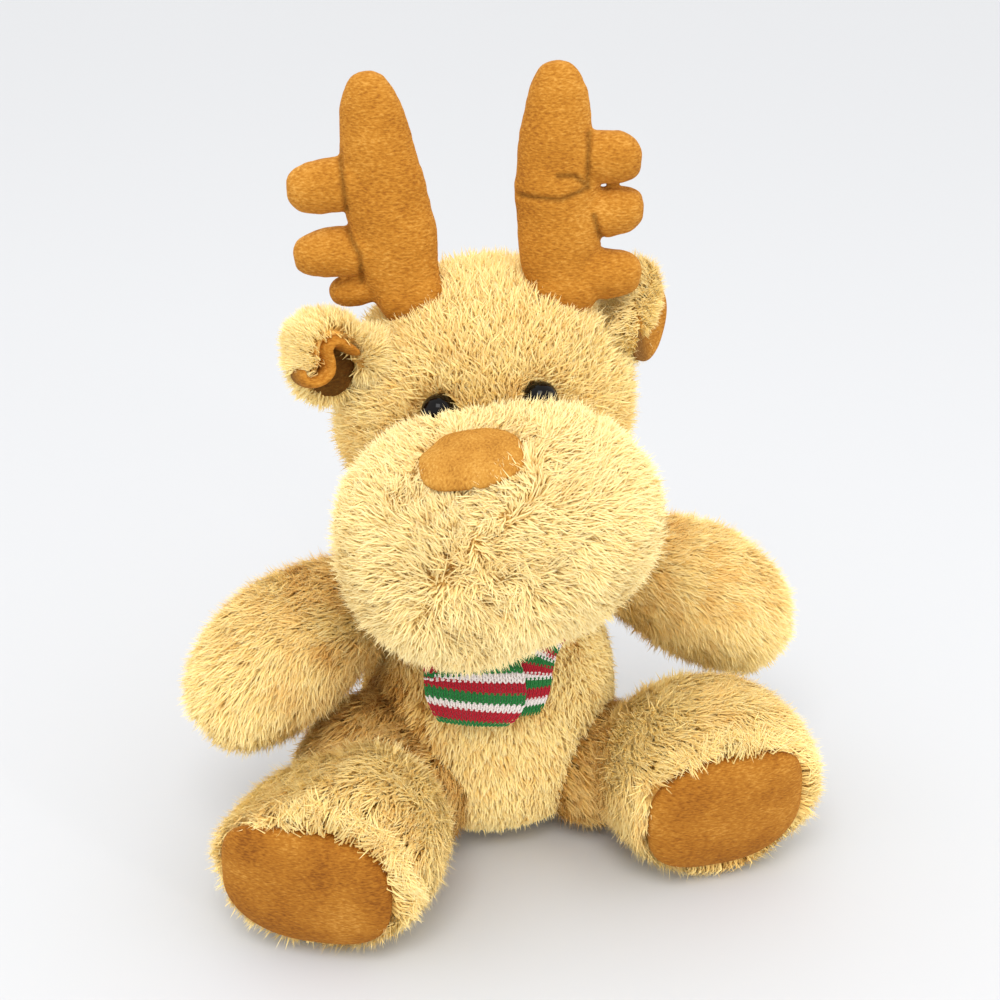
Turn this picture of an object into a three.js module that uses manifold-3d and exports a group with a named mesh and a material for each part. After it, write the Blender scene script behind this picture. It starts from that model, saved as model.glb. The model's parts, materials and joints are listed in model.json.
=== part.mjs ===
// Plush deer, sitting: long-pile fur covers over stuffing, short-pile antlers, soles and nose, and a
// knitted scarf. Millimetres, +Z up. The toy faces -Y and its own left side is +X. The origin is the
// middle of the flat seat under the body. Every limb turns about the seam that it is sewn on by.
import * as THREE from "three";
import { mergeVertices } from "three/addons/utils/BufferGeometryUtils.js";
import Module from "manifold-3d";

const wasm = await Module();
wasm.setup();

// Cloth walls, clearances and the flat that the soft forms rest on
const furWall = 7;
const velboaWall = 2;
const seamGap = 0.35;
const slideGap = 0.5;
const stuffingGap = 0.4;
const restCut = 0.5;
const cutReach = 300;

// Body: the toy leans a little to its left as it sits
const torsoHeight = 122;
const torsoWidth = 106;
const torsoDepth = 98;
const torsoForward = 5;
const torsoLean = 8;
const torsoSeatFullness = 3.6;
const torsoTopFullness = 2.2;
const torsoWidthShares = [0.9, 1, 1, 0.97, 0.9, 0.8, 0.72];
const torsoDepthShares = [0.94, 1.02, 1, 0.94, 0.86, 0.76, 0.7];
const beanBagWidth = 56;
const beanBagDepth = 38;
const beanBagHeight = 30;
const beanBagSetback = 15;
const beanBagFullness = 2.6;

// Neck: a stuffed dome on the body, a cloth gusset over it, and the head's hollow over that
const neckDrop = 20;
const neckHeight = torsoHeight - neckDrop;
const neckSetback = 7;
const neckRadius = 34;
const neckOpeningRadius = 15;
const gussetWall = 2;
const gussetTopAngle = 0.62;
const gussetLowAngle = 1.36;

// Head, in its own frame about the neck's centre
const headTurnAngle = -0.26;
const headRollAngle = -0.12;
const headWidth = 108;
const headDepth = 96;
const headHeight = 101;
const headRise = 71;
const headForward = 6;
const headAside = 8;
const headFullness = 2.2;
const headWidthShares = [0.94, 1, 1, 0.97, 0.92];
const headDepthShares = [0.94, 1, 1, 0.97, 0.92];

// Muzzle: a broad drooping cushion across the face
const muzzleWidth = 113;
const muzzleDepth = 84;
const muzzleHeight = 92;
const muzzleRise = 39;
const muzzleForward = 66;
const muzzleAside = 5;
const muzzleBend = 6;
const muzzleFullness = 2.5;
const muzzleShares = [0.94, 1, 1, 1, 0.94];

// Nose patch and eyes
const noseWidth = 35;
const noseHeight = 25;
const noseThickness = 9;
const noseAimAngle = 1.08;
const noseAside = -6;
const noseFullness = 2.6;
const noseShares = [0.9, 1, 0.9];
const eyeDiameter = 12;
const eyeDomeHeight = 4.5;
const eyeSkirt = 1.5;
const eyeStemDiameter = 4;
const eyeSpacing = 36;
const eyeRise = 83;
const washerDiameter = 14;
const washerThickness = 2;
const washerSink = 1;

// Antlers
const antlerLength = 80;
const antlerWidth = 27;
const antlerThickness = 19;
const antlerRootWidth = 22;
const antlerRootRadius = 9;
const antlerRootHoleRadius = 4.5;
const antlerRootProud = 2;
const antlerSpacing = 55;
const antlerAside = 12;
const antlerForward = 18;
const antlerSplayAngle = 0.11;
const antlerFullness = 3.2;
const antlerWidthShares = [0.7, 0.95, 1.04, 1, 0.88, 0.8];
const antlerThicknessShares = [0.9, 1, 1, 1, 0.98, 0.95];
const rightTineLength = 33;
const leftTineLength = 29;
const tineLengths = { right: rightTineLength, left: leftTineLength };
const tineHeight = 20;
const tineThickness = 18;
const tineFullness = 3.4;
const tineShares = [1, 1, 0.98, 0.94];
const tineRiseShares = { right: [0.12, 0.3, 0.53], left: [0.1, 0.34, 0.53] };
const tineLengthShares = [0.78, 0.96, 1];
const tineHeightShares = [0.86, 0.95, 1];
const tineLiftAngle = 0.06;

// Ears: a cupped fur back with a short-pile lining in its fold
const earLength = 34;
const earFullness = 2.4;
const earFoldRadius = 17;
const earHalfWidth = 25;
const earThickness = 7;
const earLiningThickness = 2;
const earLiningShare = 0.86;
const earRootRadius = 6.5;
const earRootProud = 1.5;
const earHeadGap = 3;
const earWidthShares = [0.34, 0.8, 1, 0.98, 0.8];
const rightEarForward = 26;
const rightEarRise = 97;
const leftEarForward = 8;
const leftEarRise = 90;
const earPlaces = {
  right: { forward: rightEarForward, rise: rightEarRise },
  left: { forward: leftEarForward, rise: leftEarRise },
};
const earReachShares = { right: [-0.85, -0.5, 0.2], left: [0.52, 0.85, 0.05] };
const earOpeningShares = { right: [0.4, -0.9, 0.1], left: [0.74, -0.66, 0] };

// Arms
const shoulderDrop = 29;
const shoulderHeight = torsoHeight - shoulderDrop;
const shoulderInset = 13.5;
const shoulderSpacing = torsoWidth - 2 * shoulderInset;
const shoulderSetback = 2;
const shoulderTiltAngle = 0.22;
const armLength = 82;
const armWidth = 54;
const armThickness = 52;
const armFullness = 2.8;
const armShares = [0.56, 0.7, 0.88, 1, 1, 0.98];
const armLineShares = [[-0.16, 0, 0.02], [0.2, -0.03, -0.04], [0.52, -0.08, -0.28], [0.8, -0.18, -0.64]];

// Legs
const hipHeight = 27;
const hipSpacing = 76;
const hipForward = 30;
const hipRadius = 25;
const hipTuck = 2.5;
const rightLegLength = 48;
const leftLegLength = 47;
const legLengths = { right: rightLegLength, left: leftLegLength };
const legSplayAngle = { right: 0.83, left: 0.8 };
const thighWidth = 42;
const thighFullness = 4;
const thighShares = [1, 1, 0.97, 0.94];
const footWidth = 82;
const footHeight = 69;
const footLength = 68;
const footTurnAngle = { right: 0.52, left: -0.02 };
const footFullness = 3;
const footShares = [0.9, 1, 1, 1, 0.96];
const soleForward = 24;
const padWidth = 56;
const padHeight = 43;
const padCrown = 6;
const padDrop = 5.5;
const padLap = 5;
const padFullness = 2.6;

// Scarf: a knitted strip round the neck whose two ends lap and hang on the chest. Each pair is the
// drop of its lower and upper edge below the body's top.
const scarfThickness = 3;
const scarfGap = 0.7;
const scarfBackDrops = [9.5, 1];
const scarfFrontDrops = [46, 32];
const scarfDropPower = 4.6;
const tailDrops = [56, 34];
const tailTurnAngle = { under: [-0.4, 0.09], over: [-0.74, -0.09] };
const tailLapShare = 0.6;

// How finely the rounded forms are divided
const sliding = { rings: 12, sides: 24 };
const fine = { rings: 10, sides: 20 };
const plain = { rings: 8, sides: 14 };
const inner = { rings: 6, sides: 10 };
const small = { rings: 6, sides: 10 };
const tiny = { rings: 4, sides: 8 };

const origin = new THREE.Vector3();
const xAxis = new THREE.Vector3(1, 0, 0);
const yAxis = new THREE.Vector3(0, 1, 0);
const zAxis = new THREE.Vector3(0, 0, 1);

const cloths = {
  fur: { color: 0xe4b96e, roughness: 0.95 },
  paleFur: { color: 0xf2d693, roughness: 0.95 },
  velboa: { color: 0xc98a3f, roughness: 0.9 },
  knit: { color: 0xb5182b, roughness: 0.9 },
  backing: { color: 0xd9b070, roughness: 0.95 },
  wadding: { color: 0xf4f2ec, roughness: 1 },
  pellets: { color: 0xd8d6ce, roughness: 0.8 },
  gloss: { color: 0x17100c, roughness: 0.12 },
  moulding: { color: 0xe6e4dc, roughness: 0.5 },
};

const toy = new THREE.Group();

// A smooth value along a table of shares, from its first at 0 to its last at 1
function shareAt(shares, along) {
  const place = along * (shares.length - 1);
  const index = Math.min(Math.floor(place), shares.length - 2);
  const start = shares[index];
  const end = shares[index + 1];
  const leave = (end - shares[Math.max(index - 1, 0)]) / 2;
  const arrive = (shares[Math.min(index + 2, shares.length - 1)] - start) / 2;
  const part = place - index;
  const square = part * part;
  const cube = square * part;
  return start * (2 * cube - 3 * square + 1) + end * (3 * square - 2 * cube)
    + leave * (cube - 2 * square + part) + arrive * (cube - square);
}

function points(shares, size, side = 1) {
  return shares.map(([x, y, z]) => new THREE.Vector3(x * size * side, y * size, z * size));
}

// A closed mesh from loops of points, drawn in to one point at each end
function loopMesh(start, loops, end) {
  const count = loops[0].length;
  const places = [start, ...loops.flat(), end];
  const last = places.length - 1;
  const faces = [];
  for (let spot = 0; spot < count; spot += 1) {
    const next = (spot + 1) % count;
    faces.push(0, 1 + next, 1 + spot);
    for (let low = 1; low < last - count; low += count) {
      const high = low + count;
      faces.push(low + spot, low + next, high + next, low + spot, high + next, high + spot);
    }
    faces.push(last, last - count + spot, last - count + next);
  }
  return surface(places, faces);
}

function surface(places, faces) {
  const geometry = new THREE.BufferGeometry().setFromPoints(places);
  geometry.setIndex(faces);
  return geometry;
}

// A stuffed form: oval rings along a smooth line, full in the middle and round at both ends.
// inset shrinks it everywhere, for the inside of a wall or for what fills that.
function stuffed(form, inset = 0) {
  const line = new THREE.CatmullRomCurve3(form.line);
  const length = line.getLength();
  const trim = inset / length;
  const on = (spot) => THREE.MathUtils.clamp(spot, 0, 1);
  const reachTo = (spot) => line.getPointAt(on(spot))
    .addScaledVector(line.getTangentAt(on(spot)), (spot - on(spot)) * length);
  const ends = form.ends ?? [form.fullness, form.fullness];
  const widthShares = form.widthShares ?? form.shares;
  const thicknessShares = form.thicknessShares ?? form.shares;
  const outer = form.detail ?? plain;
  const { rings, sides } = inset > 0 && outer.sides > inner.sides ? inner : outer;
  const loops = [];
  for (let ring = 1; ring < rings; ring += 1) {
    const along = (1 - Math.cos(Math.PI * ring / rings)) / 2;
    const reach = Math.abs(2 * along - 1);
    const power = along < 0.5 ? ends[0] : ends[1];
    const swell = (1 - reach ** power) ** (1 / power);
    const spot = trim + along * (1 - 2 * trim);
    const centre = reachTo(spot);
    const tangent = line.getTangentAt(on(spot));
    const up = new THREE.Vector3().crossVectors(tangent, form.across).normalize();
    const side = new THREE.Vector3().crossVectors(up, tangent).normalize();
    const halfWidth = (form.width / 2 * shareAt(widthShares, along) - inset) * swell;
    const halfThickness = (form.thickness / 2 * shareAt(thicknessShares, along) - inset) * swell;
    const loop = [];
    for (let step = 0; step < sides; step += 1) {
      const angle = 2 * Math.PI * step / sides;
      loop.push(centre.clone().addScaledVector(side, halfWidth * Math.cos(angle))
        .addScaledVector(up, halfThickness * Math.sin(angle)));
    }
    loops.push(loop);
  }
  return loopMesh(reachTo(trim), loops, reachTo(1 - trim));
}

// The solid of a closed geometry, with its shared corners merged and its slivers left out
function solid(geometry) {
  const bare = geometry.clone();
  bare.deleteAttribute("normal");
  bare.deleteAttribute("uv");
  const merged = mergeVertices(bare);
  const corners = merged.index.array;
  const faces = [];
  for (let face = 0; face < corners.length; face += 3) {
    const [a, b, c] = corners.slice(face, face + 3);
    if (a !== b && b !== c && c !== a) faces.push(a, b, c);
  }
  const vertProperties = new Float32Array(merged.attributes.position.array);
  const triVerts = new Uint32Array(volume(vertProperties, faces) < 0 ? faces.reverse() : faces);
  return new wasm.Manifold(new wasm.Mesh({ numProp: 3, vertProperties, triVerts }));
}

function volume(places, faces) {
  const corner = (index) => new THREE.Vector3().fromArray(places, 3 * faces[index]);
  let sum = 0;
  for (let face = 0; face < faces.length; face += 3) {
    sum += corner(face).dot(corner(face + 1).cross(corner(face + 2)));
  }
  return sum / 6;
}

function stuffedSolid(form, inset = 0) {
  return solid(stuffed(form, inset));
}

function joined(solids) {
  return solids.reduce((whole, piece) => whole.add(piece));
}

function ball(radius, centre = origin, detail = plain) {
  const geometry = new THREE.SphereGeometry(radius, detail.sides, detail.rings);
  geometry.rotateX(Math.PI / 2);
  return solid(geometry.translate(centre.x, centre.y, centre.z));
}

// Everything on the far side of a plane through a point, for cuts
function beyond(direction, point = origin) {
  const box = new THREE.BoxGeometry(cutReach, cutReach, cutReach);
  box.translate(0, 0, cutReach / 2);
  box.applyQuaternion(new THREE.Quaternion().setFromUnitVectors(zAxis, direction.clone().normalize()));
  return solid(box.translate(point.x, point.y, point.z));
}

// A round rod from a point along a direction
function rod(radius, length, point, direction, detail = small) {
  const geometry = new THREE.CylinderGeometry(radius, radius, length, detail.sides);
  geometry.translate(0, length / 2, 0);
  const turn = new THREE.Quaternion().setFromUnitVectors(yAxis, direction.clone().normalize());
  return solid(geometry.applyQuaternion(turn).translate(point.x, point.y, point.z));
}

// A piece of a group, in the frame of the group's parent
function inParent(piece, holder) {
  holder.updateMatrix();
  return piece.transform(holder.matrix.elements);
}

// A piece of the group's parent, in the group's own frame
function inHolder(piece, holder) {
  holder.updateMatrix();
  return piece.transform(holder.matrix.clone().invert().elements);
}

function add(holder, name, piece, cloth) {
  const { vertProperties, triVerts } = piece.getMesh();
  const geometry = new THREE.BufferGeometry();
  geometry.setAttribute("position", new THREE.BufferAttribute(vertProperties, 3));
  geometry.setIndex(new THREE.BufferAttribute(triVerts, 1));
  geometry.computeVertexNormals();
  const material = new THREE.MeshStandardMaterial({ ...cloths[cloth], metalness: 0 });
  const mesh = new THREE.Mesh(geometry, material);
  mesh.name = name;
  holder.add(mesh);
}

// Where a straight line from outside first meets a form
function landing(geometry, from, towards) {
  const shape = new THREE.Mesh(geometry, new THREE.MeshBasicMaterial({ side: THREE.DoubleSide }));
  const direction = towards.clone().sub(from).normalize();
  return new THREE.Raycaster(from, direction).intersectObject(shape)[0]?.point;
}

// Body forms, shared by the pieces that sit on the body
const torsoForm = {
  line: [
    new THREE.Vector3(0, 0, -restCut),
    new THREE.Vector3(torsoLean / 2, -torsoForward, torsoHeight / 2),
    new THREE.Vector3(torsoLean, 0, torsoHeight),
  ],
  across: xAxis,
  width: torsoWidth,
  thickness: torsoDepth,
  widthShares: torsoWidthShares,
  thicknessShares: torsoDepthShares,
  ends: [torsoSeatFullness, torsoTopFullness],
  detail: fine,
};
const neckCentre = new THREE.Vector3(torsoLean, neckSetback, neckHeight);
const floor = beyond(zAxis.clone().negate());

// Head group: its origin is the neck's centre
const head = new THREE.Group();
head.position.copy(neckCentre);
head.rotation.set(0, headRollAngle, headTurnAngle, "ZYX");
toy.add(head);

const headCentre = new THREE.Vector3(headAside, -headForward, headRise);
const headForm = {
  line: [
    headCentre.clone().addScaledVector(zAxis, -headHeight / 2),
    headCentre,
    headCentre.clone().addScaledVector(zAxis, headHeight / 2),
  ],
  across: xAxis,
  width: headWidth,
  thickness: headDepth,
  widthShares: headWidthShares,
  thicknessShares: headDepthShares,
  fullness: headFullness,
  detail: fine,
};
const muzzleCentre = new THREE.Vector3(muzzleAside, -muzzleForward, muzzleRise);
const muzzleForm = {
  line: [
    muzzleCentre.clone().add(new THREE.Vector3(-muzzleWidth / 2, muzzleBend, 0)),
    muzzleCentre,
    muzzleCentre.clone().add(new THREE.Vector3(muzzleWidth / 2, muzzleBend, 0)),
  ],
  across: yAxis,
  width: muzzleDepth,
  thickness: muzzleHeight,
  shares: muzzleShares,
  fullness: muzzleFullness,
  detail: fine,
};

const headHollow = ball(neckRadius + gussetWall + 3 * slideGap, origin, sliding);
const headCuts = [headHollow];
const eyeCuts = [];
const eyeRooms = [];
const shoulderCuts = [];
const hipCuts = [];

// The outward direction of the head's rounded form at a point on it
function headNormal(point) {
  const half = new THREE.Vector3(headWidth, headDepth, headHeight).divideScalar(2);
  return point.clone().sub(headCentre).divide(half).divide(half).normalize();
}

// An antler: a puffed beam with three tines, on a root that rolls in the head's seam
function makeAntler(name, side) {
  const above = new THREE.Vector3(antlerAside + side * antlerSpacing / 2, -antlerForward, cutReach);
  const seat = landing(stuffed(headForm), above, above.clone().setZ(0));
  const antler = new THREE.Group();
  antler.position.copy(seat).addScaledVector(zAxis, antlerRootProud);
  antler.rotation.y = side * antlerSplayAngle;
  head.add(antler);

  const beam = {
    line: [0, 0.5, 1].map((share) => zAxis.clone().multiplyScalar(share * antlerLength)),
    across: xAxis,
    width: antlerWidth,
    thickness: antlerThickness,
    widthShares: antlerWidthShares,
    thicknessShares: antlerThicknessShares,
    fullness: antlerFullness,
  };
  const tines = tineRiseShares[name].map((riseShare, index) => {
    const start = new THREE.Vector3(0, 0, antlerLength * riseShare);
    const end = new THREE.Vector3(side * Math.cos(tineLiftAngle), 0, Math.sin(tineLiftAngle));
    end.multiplyScalar(tineLengths[name] * tineLengthShares[index]).add(start);
    return {
      line: [start, start.clone().lerp(end, 0.5), end],
      across: zAxis,
      width: tineHeight * tineHeightShares[index],
      thickness: tineThickness,
      shares: tineShares,
      fullness: tineFullness,
      detail: tiny,
    };
  });
  const root = {
    line: [-1, 0, 1].map((end) => xAxis.clone().multiplyScalar(end * antlerRootWidth / 2)),
    across: zAxis,
    width: 2 * antlerRootRadius,
    thickness: 2 * antlerRootRadius,
    shares: [1, 1],
    fullness: antlerFullness,
    detail: small,
  };
  const forms = [beam, ...tines, root];
  const hollow = joined(forms.map((form) => stuffedSolid(form, velboaWall)));
  const mouth = rod(antlerRootHoleRadius, 2 * antlerRootRadius, origin, zAxis.clone().negate());
  const cover = joined(forms.map((form) => stuffedSolid(form))).subtract(hollow.add(mouth));
  const filling = joined(forms.map((form) => stuffedSolid(form, velboaWall + stuffingGap)));
  add(antler, `antler_cover_${name}`, cover, "velboa");
  add(antler, `antler_stuffing_${name}`, filling, "wadding");
  headCuts.push(inParent(stuffedSolid(root, -slideGap), antler));
}

// A cupped leaf: a curved band round a fold, wide in the middle, drawn in at its root and tip
function leaf(innerRadius, thickness, halfWidth, length) {
  const { rings, sides } = plain;
  const half = sides / 2;
  const loops = [];
  for (let ring = 1; ring < rings; ring += 1) {
    const along = (1 - Math.cos(Math.PI * ring / rings)) / 2;
    const swell = Math.sin(Math.PI * ring / rings) ** (2 / earFullness);
    const spread = halfWidth * shareAt(earWidthShares, along) * swell / (innerRadius + thickness / 2);
    const loop = [];
    for (let step = 0; step < sides; step += 1) {
      const outside = step < half;
      const across = outside ? step / half : 1 - (step - half) / half;
      const turn = spread * (2 * across - 1);
      const edge = Math.sqrt(Math.max(1 - (2 * across - 1) ** 2, 0)) * swell;
      const radius = innerRadius + thickness / 2 + (outside ? 1 : -1) * thickness / 2 * edge;
      const bend = radius * Math.cos(turn) - innerRadius;
      loop.push(new THREE.Vector3(radius * Math.sin(turn), bend, length * along));
    }
    loops.push(loop);
  }
  const middle = thickness / 2;
  return solid(loopMesh(new THREE.Vector3(0, middle, 0), loops, new THREE.Vector3(0, middle, length)));
}

function makeEar(name, side) {
  const { forward, rise } = earPlaces[name];
  const from = new THREE.Vector3(side * cutReach, -forward, rise);
  const seat = landing(stuffed(headForm), from, from.clone().setX(0));
  const ear = new THREE.Group();
  ear.position.copy(seat).addScaledVector(headNormal(seat), earRootProud);
  const reach = new THREE.Vector3(...earReachShares[name]).normalize();
  const across = new THREE.Vector3(...earOpeningShares[name]).cross(reach).normalize().negate();
  const behind = new THREE.Vector3().crossVectors(reach, across);
  ear.quaternion.setFromRotationMatrix(new THREE.Matrix4().makeBasis(across, behind, reach));
  head.add(ear);

  const back = leaf(earFoldRadius, earThickness, earHalfWidth, earLength);
  const liningRadius = earFoldRadius - earLiningThickness - seamGap;
  const liningHalfWidth = earHalfWidth * earLiningShare;
  const liningLength = earLength * earLiningShare;
  const lining = leaf(liningRadius, earLiningThickness, liningHalfWidth, liningLength)
    .translate(0, -earLiningThickness - seamGap, earRootRadius);
  const headRoom = inHolder(stuffedSolid(headForm, -earHeadGap), ear);
  add(ear, `ear_back_${name}`, back.subtract(headRoom).add(ball(earRootRadius, origin, small)), "fur");
  const rootRoom = ball(earRootRadius + seamGap, origin, small);
  add(ear, `ear_lining_${name}`, lining.subtract(headRoom.add(rootRoom)), "velboa");
  headCuts.push(inParent(ball(earRootRadius + 2 * seamGap, origin, small), ear));
}

// Safety eyes: a glossy dome on a stem that passes the fur cover, held by a washer inside
function makeEyes() {
  const inwards = zAxis.clone().negate();
  const at = (height) => new THREE.Vector3(0, 0, height);
  for (const [name, side] of [["right", -1], ["left", 1]]) {
    const front = new THREE.Vector3(headAside + side * eyeSpacing / 2, -cutReach, eyeRise);
    const seat = landing(stuffed(headForm), front, front.clone().setY(0));
    const eye = new THREE.Group();
    eye.position.copy(seat);
    eye.quaternion.setFromUnitVectors(zAxis, headNormal(seat));
    head.add(eye);
    const profile = [new THREE.Vector2(0, -eyeSkirt), new THREE.Vector2(eyeDiameter / 2, -eyeSkirt)];
    for (let step = 0; step <= small.rings; step += 1) {
      const angle = Math.PI / 2 * step / small.rings;
      const radius = step < small.rings ? Math.cos(angle) * eyeDiameter / 2 : 0;
      profile.push(new THREE.Vector2(radius, seamGap + Math.sin(angle) * eyeDomeHeight));
    }
    const cap = solid(new THREE.LatheGeometry(profile, fine.sides).rotateX(Math.PI / 2))
      .subtract(inHolder(stuffedSolid(headForm, -seamGap), eye));
    const washerTop = -(furWall + washerSink);
    const stemLength = eyeDomeHeight / 2 - washerTop + 2 * washerThickness;
    const stem = rod(eyeStemDiameter / 2, stemLength, at(eyeDomeHeight / 2), inwards);
    const hole = rod(eyeStemDiameter / 2 + seamGap, 2 * stemLength, at(stemLength), inwards);
    const washer = rod(washerDiameter / 2, washerThickness, at(washerTop), inwards, plain);
    const pocketRadius = washerDiameter / 2 + seamGap;
    const pocketLength = 2 * washerThickness + 2 * seamGap;
    const pocket = rod(pocketRadius, pocketLength, at(washerTop + seamGap), inwards, plain);
    add(eye, `eye_${name}`, cap.add(stem), "gloss");
    add(eye, `eye_washer_${name}`, washer.subtract(hole), "moulding");
    eyeCuts.push(inParent(hole.add(pocket), eye));
    const room = rod(eyeDiameter / 2 + seamGap, 2 * eyeDiameter, at(eyeDiameter), inwards, fine);
    eyeRooms.push(inParent(room, eye));
  }
}

// The nose: a short-pile patch, padded, sewn over the top of the muzzle and bent to it
function makeNose() {
  const outwards = new THREE.Vector3(0, -Math.cos(noseAimAngle), Math.sin(noseAimAngle));
  const shape = stuffed(muzzleForm);
  const line = [-1, 0, 1].map((end) => {
    const base = muzzleCentre.clone().addScaledVector(xAxis, noseAside + end * noseWidth / 2);
    return landing(shape, base.clone().addScaledVector(outwards, cutReach), base);
  });
  const form = {
    line,
    across: new THREE.Vector3(0, Math.sin(noseAimAngle), Math.cos(noseAimAngle)),
    width: noseHeight,
    thickness: noseThickness,
    shares: noseShares,
    fullness: noseFullness,
  };
  add(head, "nose_patch", stuffedSolid(form).subtract(stuffedSolid(muzzleForm, -seamGap)), "velboa");
}

// The head's fur, the muzzle's paler fur and one filling that both hold
function makeHead() {
  const cuts = joined(headCuts);
  const eyes = joined(eyeCuts);
  const inside = stuffedSolid(headForm, furWall);
  const muzzleInside = stuffedSolid(muzzleForm, furWall);
  const cover = stuffedSolid(headForm).subtract(joined([inside, muzzleInside, cuts, eyes]));
  const face = stuffedSolid(headForm, -seamGap);
  const muzzle = stuffedSolid(muzzleForm).subtract(joined([muzzleInside, face, headHollow, ...eyeRooms]));
  const filling = stuffedSolid(headForm, furWall + stuffingGap)
    .add(stuffedSolid(muzzleForm, furWall + stuffingGap))
    .subtract(cuts.add(eyes));
  add(head, "head_cover", cover, "fur");
  add(head, "muzzle_cover", muzzle, "paleFur");
  add(head, "head_stuffing", filling, "wadding");
}

// An arm: swells to its paw, and its open end lies flat against the body's side
function makeArm(name, side) {
  const arm = new THREE.Group();
  arm.position.set(torsoLean + side * shoulderSpacing / 2, shoulderSetback, shoulderHeight);
  arm.rotation.y = -side * shoulderTiltAngle;
  toy.add(arm);
  const outwards = xAxis.clone().multiplyScalar(side);
  const form = {
    line: points(armLineShares, armLength, side),
    across: yAxis,
    width: armWidth,
    thickness: armThickness,
    shares: armShares,
    fullness: armFullness,
  };
  const clear = beyond(outwards, outwards.clone().multiplyScalar(seamGap));
  const inside = stuffedSolid(form, furWall);
  add(arm, `arm_cover_${name}`, stuffedSolid(form).subtract(inside).intersect(clear), "fur");
  add(arm, `arm_stuffing_${name}`, stuffedSolid(form, furWall + stuffingGap).intersect(clear), "wadding");
  shoulderCuts.push(inParent(beyond(outwards), arm));
}

// A leg: a round root tucked into the body, a thigh and a big foot with a sole pad
function makeLeg(name, side) {
  const leg = new THREE.Group();
  leg.position.set(side * hipSpacing / 2, -hipForward, hipHeight);
  leg.rotation.z = side * legSplayAngle[name];
  toy.add(leg);
  const inwardTurn = side * (footTurnAngle[name] - legSplayAngle[name]);
  const forward = new THREE.Vector3(Math.sin(inwardTurn), -Math.cos(inwardTurn), 0);
  const ankle = new THREE.Vector3(0, -legLengths[name], footHeight / 2 - restCut - hipHeight);
  const ahead = (distance) => ankle.clone().addScaledVector(forward, distance);
  const thigh = {
    line: [origin, ankle.clone().setZ(0).multiplyScalar(0.5), ankle],
    across: xAxis,
    width: thighWidth,
    thickness: thighWidth,
    shares: thighShares,
    fullness: thighFullness,
    detail: inner,
  };
  const foot = {
    line: [ahead(-footLength / 2), ankle, ahead(footLength / 2)],
    across: xAxis,
    width: footWidth,
    thickness: footHeight,
    shares: footShares,
    fullness: footFullness,
    detail: fine,
  };
  const ground = beyond(zAxis, new THREE.Vector3(0, 0, -hipHeight));
  const grow = (inset) => stuffedSolid(thigh, inset).add(stuffedSolid(foot, inset))
    .add(ball(hipRadius - inset, origin, inset > 0 ? inner : fine));
  const sole = (depth) => beyond(forward, ahead(soleForward - depth));
  const padCentre = ahead(soleForward + seamGap).addScaledVector(zAxis, -padDrop);
  const pad = {
    line: [-1, 0, 1].map((end) => padCentre.clone().addScaledVector(forward, end * padCrown)),
    across: xAxis,
    width: padWidth,
    thickness: padHeight,
    shares: [1, 1],
    fullness: padFullness,
  };
  const opening = {
    ...pad,
    line: [-1, 0, 1].map((end) => padCentre.clone().addScaledVector(forward, end * 2 * furWall)),
    width: padWidth - 2 * padLap,
    thickness: padHeight - 2 * padLap,
    fullness: thighFullness,
    detail: plain,
  };
  const inside = grow(furWall).subtract(sole(furWall));
  const cover = grow(0).intersect(ground).subtract(joined([sole(0), inside, stuffedSolid(opening)]));
  const filling = grow(furWall + stuffingGap).subtract(sole(furWall + stuffingGap));
  add(leg, `leg_cover_${name}`, cover, "fur");
  add(leg, `leg_stuffing_${name}`, filling, "wadding");
  add(leg, `foot_pad_${name}`, stuffedSolid(pad).intersect(beyond(forward, padCentre)), "velboa");
  hipCuts.push((grown) => {
    const socket = ball(hipRadius + 2 * slideGap + grown, origin, grown > 0 ? inner : fine);
    return inParent(socket, leg);
  });
}

// The body: its cover tucks in at the hips and opens at the neck; pellets weigh down the seat
function makeTorso() {
  const shoulders = joined(shoulderCuts);
  const hips = (grown) => joined(hipCuts.map((cut) => cut(grown)));
  const gussetDrop = neckRadius * Math.cos(gussetLowAngle) - slideGap;
  const gussetFoot = neckCentre.clone().addScaledVector(zAxis, gussetDrop);
  const gussetRoom = ball(neckRadius + gussetWall + 2 * slideGap, neckCentre, sliding)
    .intersect(beyond(zAxis, gussetFoot));
  const shape = stuffedSolid(torsoForm).subtract(shoulders.add(gussetRoom))
    .add(ball(neckRadius, neckCentre, sliding));
  const inside = stuffedSolid(torsoForm, furWall).add(ball(neckRadius - furWall, neckCentre, inner))
    .subtract(hips(hipTuck));
  const neckOpening = rod(neckOpeningRadius, cutReach, neckCentre, zAxis, plain);
  const room = stuffedSolid(torsoForm, furWall + stuffingGap)
    .add(ball(neckRadius - furWall - stuffingGap, neckCentre, inner))
    .subtract(hips(hipTuck + stuffingGap));
  const bag = {
    line: [-1, 0, 1].map((end) => new THREE.Vector3(0, beanBagSetback, end * beanBagHeight)),
    across: xAxis,
    width: beanBagWidth,
    thickness: beanBagDepth,
    shares: [1, 1],
    fullness: beanBagFullness,
  };
  add(toy, "torso_cover", shape.subtract(joined([inside, hips(0), neckOpening, floor])), "fur");
  add(toy, "torso_stuffing", room.subtract(stuffedSolid(bag, -stuffingGap)), "wadding");
  add(toy, "seat_bean_bag", stuffedSolid(bag).intersect(room), "pellets");
}

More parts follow.
